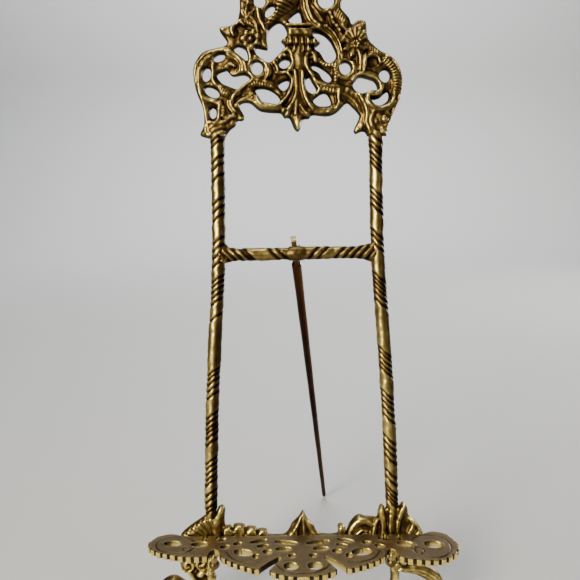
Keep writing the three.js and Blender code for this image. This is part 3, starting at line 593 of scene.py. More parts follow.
def urn(r):
    r.stroke([(-8.6, 314.6), (-7.4, 317.6), (-5, 319.2), (-2.8, 318), (-1.9, 315), (-1.8, 312), (-3, 309.4)],
             [0.9, 1.1, 1.2, 1.2, 1.2, 1.3, 1.7], 3)
    r.dome(-5.8, 316, 1.5, 1.5, 2.6)
    r.stroke([(10.6, 312.6), (10.2, 316), (8, 317.6), (6, 315.6), (5.6, 312), (6.8, 308.6), (9, 305)], 1.1, 2.8)
    r.dome(8.6, 314.6, 1.1, 1.1, 2.4)
    r.dome(2, 314.4, 3.6, 7.4, 3.2)
    r.stroke([(-1.8, 319), (6.6, 319)], 1.5, 4, profile="flat", beads=2.4, cut=0.55)
    r.stroke([(-7.6, 323.4), (-4, 323.2), (9, 322.9), (12.8, 322.2)], [1.3, 1.7, 1.7, 1.1], 4.4,
             profile="flat", beads=3.2, cut=0.6)
    r.stroke([(-3, 325.6), (7, 325.4)], 1.2, 2.2)
    r.stroke([(-4.6, 328.2), (8.4, 328)], 1.7, 3.2, profile="flat")
    r.stroke([(-5, 332), (9.4, 331.8)], 0.8, 2.6)


def palmette(r):
    """The fan of ribs under the urn, with a drop below it."""
    r.dome(1, 296, 6, 12, 1.8)
    r.stroke([(-4.4, 306.6), (-2.4, 303.6), (-2.3, 300), (-3.6, 296.4), (-6, 293), (-8.6, 290.6)], 0.9, 3.2)
    r.stroke([(-0.6, 307.6), (0, 303), (0.2, 298.5), (-0.4, 294.6), (-2.2, 290.6), (-4.6, 287.4)], 1, 3.4)
    r.stroke([(3.4, 306.8), (3.5, 301.8), (4.2, 296.4), (6, 291.6), (8.8, 287.4)], 1, 3.4)
    r.stroke([(0.4, 292.4), (0, 288.4), (-0.6, 284.6)], 0.9, 2.8)
    r.stroke([(2.2, 289.6), (3.6, 287.2), (5.6, 284.8)], [0.8, 1.3, 1.4], 3, flutes=2)
    r.stroke([(-6.6, 287.8), (-7.4, 286.2)], 0.8, 2.8)
    r.stroke([(-2.6, 289), (-4.4, 285.6), (-5.4, 283.8)], 1.1, 2.4)
    r.stroke([(0.4, 283.6), (0.5, 279), (0.5, 275.4)], [2.6, 2.4, 0.7], 2.4, profile="ridge")


def right_inner_scrolls(r):
    r.stroke([(6.4, 309.6), (8.4, 305.4), (11, 302.4), (14, 300.6), (18, 299.4), (22.6, 299.2)], 0.9, 2.4)
    r.stroke([(7.8, 304.6), (9.6, 301.6), (11.4, 299.6), (12.4, 297.8), (11, 295.8)], 0.75, 2.2)
    r.stroke([(12.6, 298.4), (16, 297.6), (20, 296.9), (23.2, 296.6)], 1.3, 2.4, beads=1.75, cut=0.6)
    r.stroke([(23.4, 297.4), (22.8, 293.6), (23, 290.6), (21.6, 288)], 0.85, 2.6)
    r.stroke([(8.6, 287.8), (12, 286.2), (16.5, 286.2), (20.5, 287), (24, 289.6)], 1.7, 1.6)
    r.stroke([(17.2, 285.6), (19.4, 288)], 0.7, 2.6)
    r.stroke([(21.4, 310.4), (21.5, 306), (21.4, 301.2)], 1.1, 2.6, beads=1.8, cut=0.6)
    r.stroke([(12.2, 313.8), (15, 311.2), (18.6, 310.6), (21.4, 311)], 0.9, 2.2, beads=1.6, cut=0.5)
    r.stroke(ellipse(26.8, 308.3, 4.1, 4.4, closed=True), 1.2, 2)
    r.stroke([(30.6, 311.4), (32, 308.4), (31, 305.4)], 1.2, 2.4, beads=1.2, lean=0.5, cut=0.5)
    r.stroke([(34.8, 315.4), (34.9, 311.6), (34.5, 307.6)], [1, 1.1, 0.6], 2.8)
    r.stroke([(37.6, 315.6), (37.4, 311.8), (36.6, 307.6)], [0.9, 1.1, 0.7], 2.8)


def right_scrolls(r):
    """The big scroll at the right, hatched inside its rim, and the eye over the upright."""
    r.stroke([(24, 297.4), (28.6, 296), (32.4, 292.8), (35, 289), (35.8, 284.6), (34.6, 280), (32.6, 276)], 1.9, 1.8,
             profile="cup")
    r.stroke([(47.6, 313.4), (50.6, 310.6), (53, 306.8), (54.4, 302.2), (54.2, 297.4), (52.6, 293)],
             [1.5, 1.7, 1.8, 1.8, 1.7, 1.3], 2.8, beads=1.6, cut=0.7)
    r.stroke([(48, 317.4), (53.6, 313), (57, 307), (57.8, 300.6), (56.4, 293), (53.4, 286.6), (51, 280.6),
              (50, 275)], 0.8, 2.5)
    r.stroke([(38.6, 314.8), (41.5, 316), (44.6, 314.6), (45.6, 311.6)], 0.85, 2.2)
    r.stroke([(31, 302.6), (35, 305), (40.6, 304.6), (44.6, 302.2), (46, 298.8), (44.6, 295.6), (41.4, 294.8)],
             [1.2, 1.4, 1.6, 1.8, 1.7, 1.4, 1.1], 2.6)
    r.stroke([(43.6, 297), (40.6, 296.6), (38.6, 293.8), (39.4, 290), (42.6, 287.4), (47, 287), (51, 289.4), (53, 294)],
             [0.6, 1.0, 1.2, 1.3, 1.3, 1.3, 1.2, 0.9], 3.4)
    r.stroke([(34, 295.6), (35.8, 292.4), (37.6, 288.8), (38.4, 284.8), (38.2, 280.6), (39.4, 276.4), (41, 272)],
             [1, 1.2, 1.3, 1.2, 1.2, 1.3, 1.6], 2.6)
    r.stroke([(50.2, 284), (46.6, 287), (42.4, 286), (40.4, 281.8), (41.2, 277.2), (44, 273.4), (48, 271.4)],
             [0.6, 0.9, 1.0, 1.1, 1.2, 1.3, 1.4], 2.8)
    r.stroke([(44.4, 276.4), (43.2, 279.6), (44.2, 283)], [0.6, 0.8, 0.5], 1.6)
    r.dome(46, 280.6, 5.6, 7, 2.0)
    r.dome(47.4, 281.4, 2.6, 2.8, 4.4)
    for tip in ((51.4, 280.6), (51, 276.6), (48.4, 273.6)):
        r.stroke([(46, 277), (0.5 * (46 + tip[0]), 0.5 * (277 + tip[1]) - 0.6), tip], [0.6, 1.2, 0.6], 2.6)
    r.stroke([(49.6, 286.6), (51.4, 288.4), (53.6, 290.6)], 1, 2.4)
    r.stroke([(39.6, 286.2), (42, 286), (44.6, 285.6)], 0.7, 2.2)
    r.dome(41.3, 311.8, 3.2, 2.6, 1.4, carve=True)


def left_flower(r):
    """An open flower with its leaves and the stems that rise from it."""
    r.stroke([(-20.6, 347), (-20, 341), (-19.4, 336.4), (-17.6, 332.4), (-16, 328.8)], [0.8, 0.9, 1, 1.1, 0.8], 2.8)
    r.stroke([(-17, 329), (-16.6, 325), (-15.2, 320)], [1.8, 2.4, 0.6], 0.8)
    r.stroke([(-28.6, 339.4), (-24.6, 337.4), (-21.4, 333.6), (-20, 328.6)], 0.9, 2)
    for tip in ((-29.4, 340.4), (-26, 343), (-22, 340.4)):
        r.stroke([(-26, 335.4), (0.5 * (tip[0] - 26.4), 0.5 * (tip[1] + 335.4)), tip], [0.8, 1.5, 0.5], 2.4,
                 profile="ridge")
    r.stroke([(-27.4, 351), (-27, 347.6), (-24.6, 344.6)], [1.8, 2.0, 1.4], 2.0, beads=1.9, lean=0.6, cut=0.5)
    r.stroke([(-29, 334.4), (-25.4, 333.8), (-22, 331.6)], [0.8, 1.3, 0.8], 2.2, beads=1.5, lean=0.7, cut=0.4)
    r.stroke([(-27.4, 332), (-29.8, 334), (-33, 332.6), (-34.2, 329.4), (-33.2, 326.6)],
             [0.6, 1.1, 1.3, 1.1, 0.6], 3.0)
    r.stroke([(-33.6, 328.4), (-37, 329.6), (-40.2, 330.4)], [1.8, 1.7, 0.6], 2.0, beads=1.2, lean=0.8, cut=0.45)
    r.stroke([(-26, 319.4), (-24.8, 316), (-24.6, 312)], 0.85, 2.4)
    r.dome(-21.8, 315.6, 1, 1.2, 2.2)
    for k in range(7):
        a = math.radians(20 + 360 / 7 * k)
        r.dome(-24.0 + 3.9 * math.cos(a), 324.6 + 3.7 * math.sin(a), 2.4, 2.0, 3.0, tilt=20 + 360 / 7 * k)
    r.dome(-24.0, 324.6, 2.6, 2.5, 1.3, carve=True)
    r.dome(-24.2, 324.6, 1.7, 1.7, 3.4)


def right_flower(r):
    r.stroke([(17, 341), (19.4, 336.6), (20.4, 333), (22.8, 330.4), (24.4, 327), (25.6, 323)], 0.9, 3,
             beads=2.6, cut=0.35)
    r.stroke([(22, 341.6), (24.6, 337), (27, 333.4)], [2, 2.4, 1.2], 1.8, beads=1.6, lean=0.7, cut=0.4)
    r.stroke([(26, 332), (28, 328.6)], [1.4, 1], 1.6)
    r.stroke([(22, 350.5), (23.6, 346), (22, 341)], [1.6, 1.8, 1], 1.6)
    r.stroke([(33.6, 327.4), (36, 330.4), (37, 333.2)], [2.4, 2.2, 0.8], 1.8)
    r.stroke([(38.6, 321.4), (42.4, 318.6), (46.4, 316.2)], [1.6, 1.8, 1], 2.2, beads=1.5, lean=0.7, cut=0.4)
    r.dome(32.6, 322.4, 6.0, 5.6, 1.8, sharp=3)
    for k in range(7):
        a = math.radians(20 + 24 * k)
        tip = (32.4 + 6.4 * math.cos(a), 323 + 6.2 * math.sin(a))
        r.stroke([(32.4 + 2.6 * math.cos(a), 322.4 + 2.4 * math.sin(a)), tip], [0.6, 1.15], 3.2)
    for turn in (150, 195, 245, 300, 350):
        a = math.radians(turn)
        r.stroke([(32.4 + 3 * math.cos(a), 320.4 + 3 * math.sin(a)), (32.4 + 6.2 * math.cos(a), 320.4 + 6 * math.sin(a))],
                 [0.9, 1.5, 0.7], 2.6)
    r.dome(32.4, 321.2, 3.3, 3.2, 3.4)
    for k in range(6):
        a = math.radians(60 * k)
        r.dome(32.4 + 1.6 * math.cos(a), 321.2 + 1.6 * math.sin(a), 0.9, 0.9, 4.4)


def bird(r):
    """A small bird on the urn's lid, and the drapery that falls to its right."""
    r.stroke([(12, 331.6), (17.4, 329.2), (21.4, 324.6), (23.6, 318.6), (24.2, 314.4)], [1.6, 1.7, 1.7, 1.6, 1.2], 2.2,
             profile="cup")
    r.stroke([(16.6, 331), (20.4, 327.6), (23.4, 322.4), (24.8, 317.4)], 0.55, 3)
    r.stroke([(8.8, 342.4), (11.6, 338.6), (14.8, 333.8)], [1.2, 1.6, 1], 2.6, flutes=2)
    r.stroke(ellipse(16.8, 344.6, 5.4, 5.5, closed=True), 1.1, 2)
    r.stroke([(5.6, 350), (5.8, 342), (8.4, 334.6), (12.4, 331)], [2, 2.4, 2.4, 1.8], 4, flutes=3, cut=0.3)
    r.stroke([(-1, 347), (-6.6, 342.6), (-11.6, 337.4), (-15.4, 331.8)], [3.6, 3.4, 2.2, 0.8], 3.4,
             beads=2.3, lean=0.5, cut=0.75)
    r.dome(-0.6, 349, 4.6, 6.4, 4.6, tilt=30)
    r.dome(1.2, 355.6, 2.9, 2.7, 4.2)
    r.stroke([(-1, 356), (-4.4, 355)], [0.9, 0.4], 2.6)


def crest():
    relief = Relief((-58, 269), (60, 361), step=0.36, spread=1.4, drop=0.9)
    relief.add(spline(CREST_OUTLINE, 4, closed=True))
    for hole in CREST_HOLES:
        relief.cut(hole)
    for window in CREST_WINDOWS:
        relief.cut(spline(window, 4, closed=True))
    below = [(-70, 260), (70, 260), (70, CREST_FOOT), (-70, CREST_FOOT)]
    relief.cut(below)
    for part in (left_scrolls, left_inner_scrolls, urn, palmette, right_inner_scrolls, right_scrolls, left_flower,
                 right_flower, bird):
        part(relief)
    return relief.mesh("crest_casting", frame_point, BRASS, face=2.3, back=2.3, rounded=2.0, soften=0.75,
                       tone=0.425, uneven=0.13, depth=0.75)


# ---------------------------------------------------------------- uprights and crossbar
UPRIGHT_LINE = [(43.2, 272), (43.9, 209), (47.3, 155), (49.5, 115.5), (51, 70), (51.2, 55)]  # (u, v)
LEFT_GROOVES = [271.9, 269.2, 260.8, 256.6, 250.9, 238.1, 233.7, 229, 216.7, 212.6, 208.4, 204, 195.5, 192.7, 189.6,
                186.5, 183.1, 174.5, 144.1, 141.6, 138.5, 134.8, 130.9, 119.6, 116.5, 113.3, 111.1, 108.2, 104.5, 94,
                90.9, 87.7, 84.5, 81.7, 75.6, 71.7, 67.9, 65.3]
RIGHT_GROOVES = [270.4, 266, 263.5, 259.9, 257, 254.5, 241.2, 238.5, 235.5, 232, 218.4, 215.2, 211.6, 194.5, 192, 189.5,
                 187, 183.9, 180.3, 153.4, 150.9, 147.9, 144.8, 142.2, 129.5, 126.4, 123.3, 119.6, 115.9, 104, 100.3,
                 96.6, 92.6, 84.5, 80.5, 75.4, 72.8, 70.2, 67.9]
BAR_GROOVES = {-1: [-41, -37, -33.2, -29, -27, -13.3, -8.8], 1: [8.4, 13.5, 23, 27.6, 31.8, 36, 40.5]}


def twisted(along, angle, grooves, rise, depth=0.75, width=0.62, swell=0.32):
    """Radius and tone of a rod with slanting grooves at the given places; angle 0 faces the viewer. The tone is painted
    lighter toward the viewer as a painted highlight, with darker patina in the grooves there.
    """
    sunk = np.zeros(np.broadcast(along, angle).shape)
    near = np.zeros_like(sunk)
    for place in grooves:
        d = along - place - rise * angle
        sunk = np.maximum(sunk, np.exp(-(d**2) / (2 * width**2)))
        near = np.maximum(near, np.exp(-(d**2) / (2 * (4 * width) ** 2)))
    # facing weights the painted light, brightest toward the viewer; it also sets how deep the grooves are cut
    facing = np.clip(0.62 + 0.5 * np.cos(angle), 0, 1)
    radius = swell * near * facing - depth * sunk * facing
    # painted highlight toward the viewer, darker patina in the grooves there
    wear_and_shading = 0.40 + (0.30 + 0.06 * near - 0.50 * sunk) * facing
    return radius, wear_and_shading


def upright(side, grooves, rise):
    """One twisted post: it follows the splayed line, with slanting grooves in groups between plain swellings."""
    line = spline(UPRIGHT_LINE[::-1], 12)
    v = np.arange(RAIL_TOP - 3, CREST_FOOT + 1.5, 0.45)[:, None]
    u = side * np.interp(v, line[:, 1], line[:, 0])
    angle = np.linspace(-math.pi, math.pi, 44, endpoint=False)[None, :]
    relief, wear_and_shading = twisted(v, angle, grooves, rise)
    nearest = np.min(np.abs(v[..., None] - np.array(grooves)), axis=-1)
    plain = np.clip(nearest / 6, 0, 1)
    flare = 0.6 * np.clip((v - 258) / 14, 0, 1) ** 2 - 1.1 * np.clip((68 - v) / 8, 0, 1)
    bumps = 0.06 * hand_worked((len(v), angle.shape[1]), 2)
    radius = 3.6 + 0.22 * plain + 0.07 * np.sin(v / 7.3 + side) + relief + flare + bumps
    shade = 0.36 if side < 0 else 0.28
    # painted shade: both flanks are darkened, and the post's right-hand side far more
    wear_and_shading = wear_and_shading - 0.08 * np.sin(angle) ** 2 - shade * np.clip(2.2 * np.sin(angle) + 0.1, 0, 1)
    rings = frame_point(u + radius * np.sin(angle), -radius * np.cos(angle), v)
    name = "left_upright" if side < 0 else "right_upright"
    return skin(name + "_casting", rings, BRASS, wear_and_shading)


def crossbar():
    """The bar between the uprights: twisted both ways from an oval boss, with leafy fillets at its ends."""
    u = np.arange(-43.5, 43.6, 0.45)[:, None]
    angle = np.linspace(-math.pi, math.pi, 44, endpoint=False)[None, :]
    grooves = {side: twisted(u, angle, BAR_GROOVES[side], side * 3.0, width=0.8) for side in (-1, 1)}
    relief = np.where(u < 0, grooves[-1][0], grooves[1][0])
    wear_and_shading = np.where(u < 0, grooves[-1][1], grooves[1][1])
    flare = 1.7 * np.clip((np.abs(u) - 32) / 9, 0, 1) ** 1.6 * np.sin(angle) ** 2
    boss = np.sqrt(np.clip(1 - ((u + 0.5) / 9) ** 2, 0, 1))
    radius = 3.45 + 0.14 * np.sin(u / 5) + flare + relief * (1 - boss)
    radius = np.maximum(radius, 4.15 * boss) + 0.06 * hand_worked((len(u), angle.shape[1]), 2)
    # painted shade: the bar is darker overall, above and below and most underneath, and the front of the boss is toned
    # down
    wear_and_shading = wear_and_shading - 0.09 - 0.14 * boss * np.cos(angle) - 0.10 * np.sin(angle) ** 2 - 0.10 * np.clip(-np.sin(angle), 0, 1)
    height = BAR_HEIGHT - 0.3 + 0.25 * np.sin(u / 16)
    rings = frame_point(u + 0 * angle, -radius * np.cos(angle), height + radius * np.sin(angle))
    return skin("crossbar_casting", rings, BRASS, wear_and_shading)


def join_fillet(side, up):
    """The small web of brass in the corner between an upright and the crossbar."""
    t = np.linspace(0, 1, 22)
    corner = np.array([side * 44.6, BAR_HEIGHT])
    u = corner[0] - side * 7 * t**1.25
    v = corner[1] + up * 7 * (1 - t) ** 1.25
    line = np.stack([u, 0 * u - 0.2, v], axis=1)
    rings = sweep(line, lambda t, angle: 2.0 + 0.9 * np.sin(math.pi * t) - 0.25 * np.cos(3 * angle), 16, up=(0, 1, 0))
    wear_and_shading = 0.42 + 0.1 * np.sin(np.linspace(0, math.pi, 22))[:, None] + np.zeros((22, 16))
    name = f"{'left' if side < 0 else 'right'}_{'upper' if up > 0 else 'lower'}_fillet"
    return skin(name, frame_point(rings[..., 0], rings[..., 1], rings[..., 2]), BRASS, wear_and_shading)


# ---------------------------------------------------------------- base rail and feet
RAIL_OUTLINE = [
    (-64, 44), (-46, 42.8), (46, 42.8), (64, 44), (68, 49), (67.5, 52.4), (63.5, 58), (60.4, 60.4), (59.6, 64.6),
    (57.8, 67.6), (56, 67.2), (54.8, 63.6), (47.6, 63.6), (46.4, 66.2), (44.4, 66.6), (43, 63.4), (42.4, 59.6),
    (39.4, 59.8), (36, 60), (33, 61), (30.2, 60), (27, 56.4), (25.4, 52.6), (24.9, 51), (24.4, 54.4), (22.4, 56),
    (20.2, 55), (19.8, 50.4), (10.6, 50.2), (8, 52.6), (6.4, 56), (3.6, 58.6), (2, 62), (0.6, 64), (-1.2, 61.4),
    (-2.6, 59.6), (-5.6, 56.6), (-7.4, 53), (-10.6, 50.2), (-19.0, 50.4), (-19.8, 53.2), (-24.6, 53.6),
    (-25.2, 51.6), (-25.8, 54.6), (-31.2, 55), (-31.8, 52.4), (-32.4, 56.2), (-38.2, 56.6), (-38.8, 54),
    (-40.4, 56), (-43.2, 56), (-43.4, 62), (-43, 65.4), (-44.4, 67.4), (-46.8, 66.8), (-49, 62.4), (-54.4, 61.8),
    (-58, 59.4), (-62.8, 56.2), (-67.6, 52), (-68.4, 49),
]
# The ledge folds up against the rail's face, so its relief stays low.
RAIL_FACE = 1.7
RAIL_PROUD = 2.0


def rail_left(r):
    """The shell that wraps the foot of the left upright, the leaf beside it and a row of knobs."""
    for k in range(6):
        start = (-66.2 + 3 * k, 50.4 + 2.7 * k - 0.16 * k * k)
        end = (-57.4 + 1.5 * k, 46)
        bend = (0.5 * (start[0] + end[0]) + 1.8, 0.5 * (start[1] + end[1]) + 1.2)
        r.stroke([start, bend, end], [1.9, 1.4, 0.7], [2.0, 2.0, 1.4])
    r.stroke([(-48.6, 46), (-48.2, 56), (-45.4, 66)], [2.8, 2.6, 1.6], 2.0)
    for u, v, half in ((-41.4, 51.8, 3.1), (-35.2, 52.4, 3.5), (-28.4, 51, 3.3), (-22.2, 50, 2.8)):
        r.dome(u, v, half, 4.4, 2.0, sharp=6)
    for u in (-43, -38, -33):
        r.stroke([(u - 2.4, 48), (u + 0.6, 50.2), (u + 3.4, 48.2)], [0.7, 1.1, 0.5], 2.0)


def rail_middle(r):
    """A faceted leaf that comes to a point."""
    r.stroke([(0.6, 63.4), (1, 56), (1.4, 48)], [0.5, 1.5, 1.9], 2.0, profile="ridge")
    r.stroke([(0, 62.4), (-2.8, 56), (-6.4, 49.6)], [0.5, 1.7, 2.3], 1.9, profile="ridge")
    r.stroke([(1.2, 62.4), (3.8, 56), (6.6, 50)], [0.5, 1.6, 2.0], 1.7, profile="ridge")
    r.stroke([(-1.2, 58), (-3, 53), (-3.4, 48)], [0.5, 1.1, 1.3], 1.9, profile="ridge")


def rail_right(r):
    """A knob, a scroll with a crescent in it, a leaf, flutes round the upright's foot and a fin outside it."""
    r.dome(22.3, 52.8, 2.6, 3.6, 2.0, sharp=3)
    r.stroke([(26.4, 47.6), (28, 53), (31.6, 57), (35.8, 58), (39.4, 55.8)], [2.0, 2.4, 2.4, 2.2, 1.6], 2.0)
    r.stroke([(29, 48.4), (31.4, 51.4), (34.4, 53.2), (36.4, 52)], [0.7, 1.0, 1.0, 0.6], 2.0)
    r.stroke([(33, 48), (36.6, 49), (40, 49.6)], [1.2, 1.9, 1.4], 1.8)
    r.stroke([(40, 49.6), (41, 55), (42, 58.4)], [1.5, 1.7, 1.2], 2.0)
    r.stroke([(45.4, 48), (45.8, 56), (43.8, 65.6)], [1.5, 1.9, 1.7], 2.0)
    r.stroke([(49.8, 47.6), (49.9, 55), (50, 63.6)], [1.4, 1.7, 1.3], 2.0)
    r.stroke([(53.6, 47.6), (53.8, 54), (54.4, 58), (57, 66.5)], [1.2, 1.4, 1.8, 1.2], 2.0)
    r.stroke([(60, 50), (62.6, 55.6), (61, 59.4)], [1.4, 1.7, 0.8], 1.8)
    r.stroke([(63, 48.6), (66.2, 52.4), (63.4, 57)], [1.2, 1.4, 0.6], 1.9)


def rail():
    relief = Relief((-70, 41), (70, 70))
    relief.add(spline(RAIL_OUTLINE, 3, closed=True))
    relief.add([(-60, 48), (-58, 59), (-54.4, 62), (-50.4, 63.4), (-46, 64), (-44, 60), (-44, 48)])
    relief.add([(44, 48), (45, 62), (48, 65.4), (54, 65.4), (57, 67), (58.6, 60), (60, 48)])
    rail_left(relief)
    rail_middle(relief)
    rail_right(relief)
    relief.stroke([(-64, 46), (0, 45.2), (64, 46)], 1.3, 1.3, beads=4.4, cut=0.5)
    return relief.mesh("rail_casting", frame_point, BRASS, face=RAIL_FACE, proud=RAIL_PROUD, rounded=1.3, tone=0.54,
                       uneven=0.12, rim=0.85)


SCROLL = {  # (outwards from the middle, up); the two feet are given one by one and aren't a mirrored pair
    -1: [(51, 26), (58, 19.4), (66, 21), (73, 24.2), (78.4, 20.4), (79.6, 12.6), (73.5, 3.8), (64, 1.8), (57.6, 8),
         (59.4, 16), (66, 16.8)],
    1: [(50, 45), (50.5, 37), (56, 30.6), (66, 29), (75, 23.5), (77.6, 13), (72.5, 3.8), (63.6, 1.8), (57.6, 8),
        (59.4, 16.4), (66, 18)],
}
SCROLL_WIDTH = {-1: [2.2, 2.4, 2.4, 3.0, 3.4, 3.3, 3.6, 3.1, 2.4, 2.1, 2.9],
                1: [5.4, 3.0, 2.4, 3.4, 3.8, 3.4, 3.6, 3.1, 2.4, 2.1, 2.9]}
STEM = [(50.5, 45), (52.4, 30), (51.4, 20), (45.6, 12), (41, 4)]
STEM_WIDTH = [5.4, 2.8, 2.4, 2.6, 3.4]


def foot_scroll(r, at, side):
    """The big fluted C-scroll that ends in a volute, and its leaf."""
    r.stroke(at(SCROLL[side]), [w * 0.92 for w in SCROLL_WIDTH[side]], 2.3, flutes=3, cut=0.45)
    r.stroke(at([(72, 27.4), (77.4, 21), (79.4, 13), (76, 5)]), [0.8, 1.3, 1.4, 0.8], 2.4)
    r.dome(*at([(65.6, 17.4)])[0], 2.7, 2.7, 3.2)
    r.stroke(at([(61, 24.4), (64, 21.4), (68.4, 21.8)]), [0.8, 1.3, 0.6], 1.8)
    r.dome(*at([(58.8, 8.6)])[0], 4.6, 3.8, 2.0, rings=2, cut=0.5)


def foot_stem(r, at):
    """The stem down to the toe: ribs, a collar and a fluted paw."""
    r.stroke(at(STEM), [w * 0.8 for w in STEM_WIDTH], 2.2, flutes=3, cut=0.4)
    r.stroke(at([(48.6, 31), (52.4, 29.4), (56, 31)]), 0.9, 2.8)
    for k in range(3):
        u = 37.6 + 3.6 * k
        r.stroke(at([(u + 2.6, 9), (u + 0.8, 5.4), (u, 0.8)]), [1.1, 1.6, 1.3], 2.8)
    r.stroke(at([(43.4, 15.4), (47.6, 12.2), (51, 13.6)]), [0.7, 1.2, 0.6], 2.2)


def foot(side):
    """A pierced scroll foot; its upper curls differ on the two sides, as hand-finished wax does."""
    def at(points):
        return [(side * u, v) for u, v in points]

    relief = Relief((min(side * 36, side * 84), -1), (max(side * 36, side * 84), 46))
    relief.band(at(SCROLL[side]), SCROLL_WIDTH[side])
    relief.band(at(STEM), STEM_WIDTH)
    relief.add(ellipse(side * 42, 3.4, 6.8, 5.2))
    relief.add(ellipse(side * 58.6, 8.4, 6, 5))
    if side < 0:
        relief.add(ellipse(-64.2, 34, 4.9, 4.6))
        relief.add(ellipse(-57, 34.4, 4.6, 4.6))
        relief.add([(-67, 32), (-62.5, 25.5), (-56, 21), (-52, 26), (-52, 33)])
    else:
        relief.add(ellipse(57, 35, 2.8, 3.2))
    relief.cut([(-99, -5), (99, -5), (99, -0.45), (-99, -0.45)])
    foot_scroll(relief, at, side)
    foot_stem(relief, at)
    if side < 0:
        relief.stroke(volute(-64.2, 34.6, 3.8, 230, 1.1), 1.2, 2.6)
        relief.stroke(volute(-56.6, 35.4, 3.4, -60, -1.1), 1.2, 2.6)
        relief.dome(-57.4, 29.4, 2.6, 2.4, 3.2)
        relief.stroke([(-64, 31), (-61.4, 27), (-58, 24), (-56, 20)], 1.3, 2.6)
        relief.stroke(ellipse(-50, 35.2, 2.7, 2.6, closed=True), 0.9, 2.2)
        relief.cut(ellipse(-50, 35.2, 1.4, 1.3))
    else:
        relief.stroke(volute(56.6, 35, 2.6, 180, -1.2), 0.9, 2.2)
        relief.stroke([(48, 39), (50, 33), (54, 24)], 0.9, 2.4)
        relief.cut(ellipse(51.6, 36.4, 1.3, 1.8, 20))
    return relief.mesh(f"{'left' if side < 0 else 'right'}_foot_casting", frame_point, BRASS, face=2.0,
                       back=2.3, rounded=1.8, tone=0.56, uneven=0.12, rim=0.7)


def bracket(side):
    """The arm that carries the ledge on a collar, with a small knob that stands up in the ledge's notch."""
    root = frame_point(np.array(side * 50.4), 0.0, 33.0) / MM
    under = LEDGE_TOP - LEDGE_THICK - GAP
    collar = np.array([side * NOTCH[0], LEDGE_BACK + NOTCH[1], under - 2.4])
    knob = np.array([side * NOTCH[0], LEDGE_BACK + NOTCH[1], LEDGE_TOP - 0.4])
    curve = spline([root, collar + np.array([0, 8, -6]), collar, knob], 24)
    height = curve[:, 2]
    near = np.linalg.norm(curve - collar, axis=1)
    radius = np.maximum(1.5, 2.7 * np.sqrt(np.clip(1 - (near / 2.4) ** 2, 0, 1)))
    radius = np.where(height > collar[2], np.maximum(radius, 1.6), np.maximum(radius, 2.1))
    radius *= np.sqrt(np.clip(1 - ((height - knob[2] + 1.5) / 1.5).clip(0, 1) ** 2, 0.02, 1))
    rings = sweep(curve, lambda t, angle: radius[:, None] * (1 + 0 * angle), 20, up=(1, 0, 0))
    # painted highlight: the knob above the ledge's underside is set brighter than the arm below it
    wear_and_shading = np.where(height > under, 0.66, 0.52)[:, None] + np.zeros((len(curve), 20))
    return skin(f"{'left' if side < 0 else 'right'}_bracket", rings * MM, BRASS, wear_and_shading)


def slab(name, outline, thickness, place, material, bevel=0.35, wear_and_shading=0.45):
    """A plate across X from an outline of (y, z) points in mm, with bevelled edges."""
    mesh = bmesh.new()
    face = mesh.faces.new([mesh.verts.new((-thickness / 2, y, z)) for y, z in outline])
    grown = bmesh.ops.extrude_face_region(mesh, geom=[face])["geom"]
    moving = [v for v in grown if isinstance(v, bmesh.types.BMVert)]
    bmesh.ops.translate(mesh, vec=(thickness, 0, 0), verts=moving)
    bmesh.ops.recalc_face_normals(mesh, faces=mesh.faces)
    rims = [e for e in mesh.edges if abs(e.verts[0].co.x - e.verts[1].co.x) < 1e-6]
    bmesh.ops.bevel(mesh, geom=rims, offset=bevel, segments=2, profile=0.6, affect="EDGES")
    bmesh.ops.transform(mesh, matrix=place, verts=mesh.verts)
    data = bpy.data.meshes.new(name)
    mesh.to_mesh(data)
    mesh.free()
    data.shade_smooth()
    data.set_sharp_from_angle(angle=math.radians(40))
    layer = data.attributes.new("wear_and_shading", "FLOAT", "POINT")
    layer.data.foreach_set("value", np.full(len(data.vertices), wear_and_shading, dtype=np.float32))
    data.materials.append(material)
    obj = bpy.data.objects.new(name, data)
    bpy.context.scene.collection.objects.link(obj)
    return obj


def lathe(name, profile, place, material, sides=28, wear_and_shading=0.6):
    """A turned part about X from (x, radius) pairs in mm."""
    x, r = np.array(profile, dtype=float).T
    angle = np.linspace(0, 2 * math.pi, sides, endpoint=False)
    rings = np.stack([x[:, None] + 0 * angle, r[:, None] * np.cos(angle), r[:, None] * np.sin(angle)], axis=-1)
    matrix = np.array(place)
    rings = rings @ matrix[:3, :3].T + matrix[:3, 3]
    return skin(name, rings, material, np.full(rings.shape[:2], wear_and_shading))


def arc(cy, cz, radius, start, end, steps=10):
    angles = np.radians(np.linspace(start, end, steps))
    return [(cy + radius * math.cos(a), cz + radius * math.sin(a)) for a in angles]


def rail_ear(side, hand):
    """One of the rail's ears at a ledge hinge: a tab that runs forward and rounds off about the pin."""
    x = side * LUG_X + hand * (LUG_WIDTH / 2 + GAP + EAR_WIDTH / 2)
    outline = arc(0, 0, 2.2, 90, 270) + [(LEDGE_AXIS + 1, -2.2), (LEDGE_AXIS + 1, 2.2)]
    place = Matrix.Scale(MM, 4) @ Matrix.Translation((x, LEDGE_HINGE[1], LEDGE_HINGE[2]))
    name = f"{'left' if side < 0 else 'right'}_{'inner' if side * hand < 0 else 'outer'}_ear"
    return slab(name, outline, EAR_WIDTH, place, BRASS)


def ledge_pin(side):
    half = LUG_WIDTH / 2 + GAP + EAR_WIDTH
    profile = [(-half - 0.35, 0.05), (-half - 0.3, 0.5), (-half, 0.9), (1 - half, 1), (half - 1, 1), (half, 0.9),
               (half + 0.3, 0.5), (half + 0.35, 0.05)]
    place = Matrix.Scale(MM, 4) @ Matrix.Translation((side * LUG_X, LEDGE_HINGE[1], LEDGE_HINGE[2]))
    return lathe(f"{'left' if side < 0 else 'right'}_hinge_pin", profile, place, PIN)


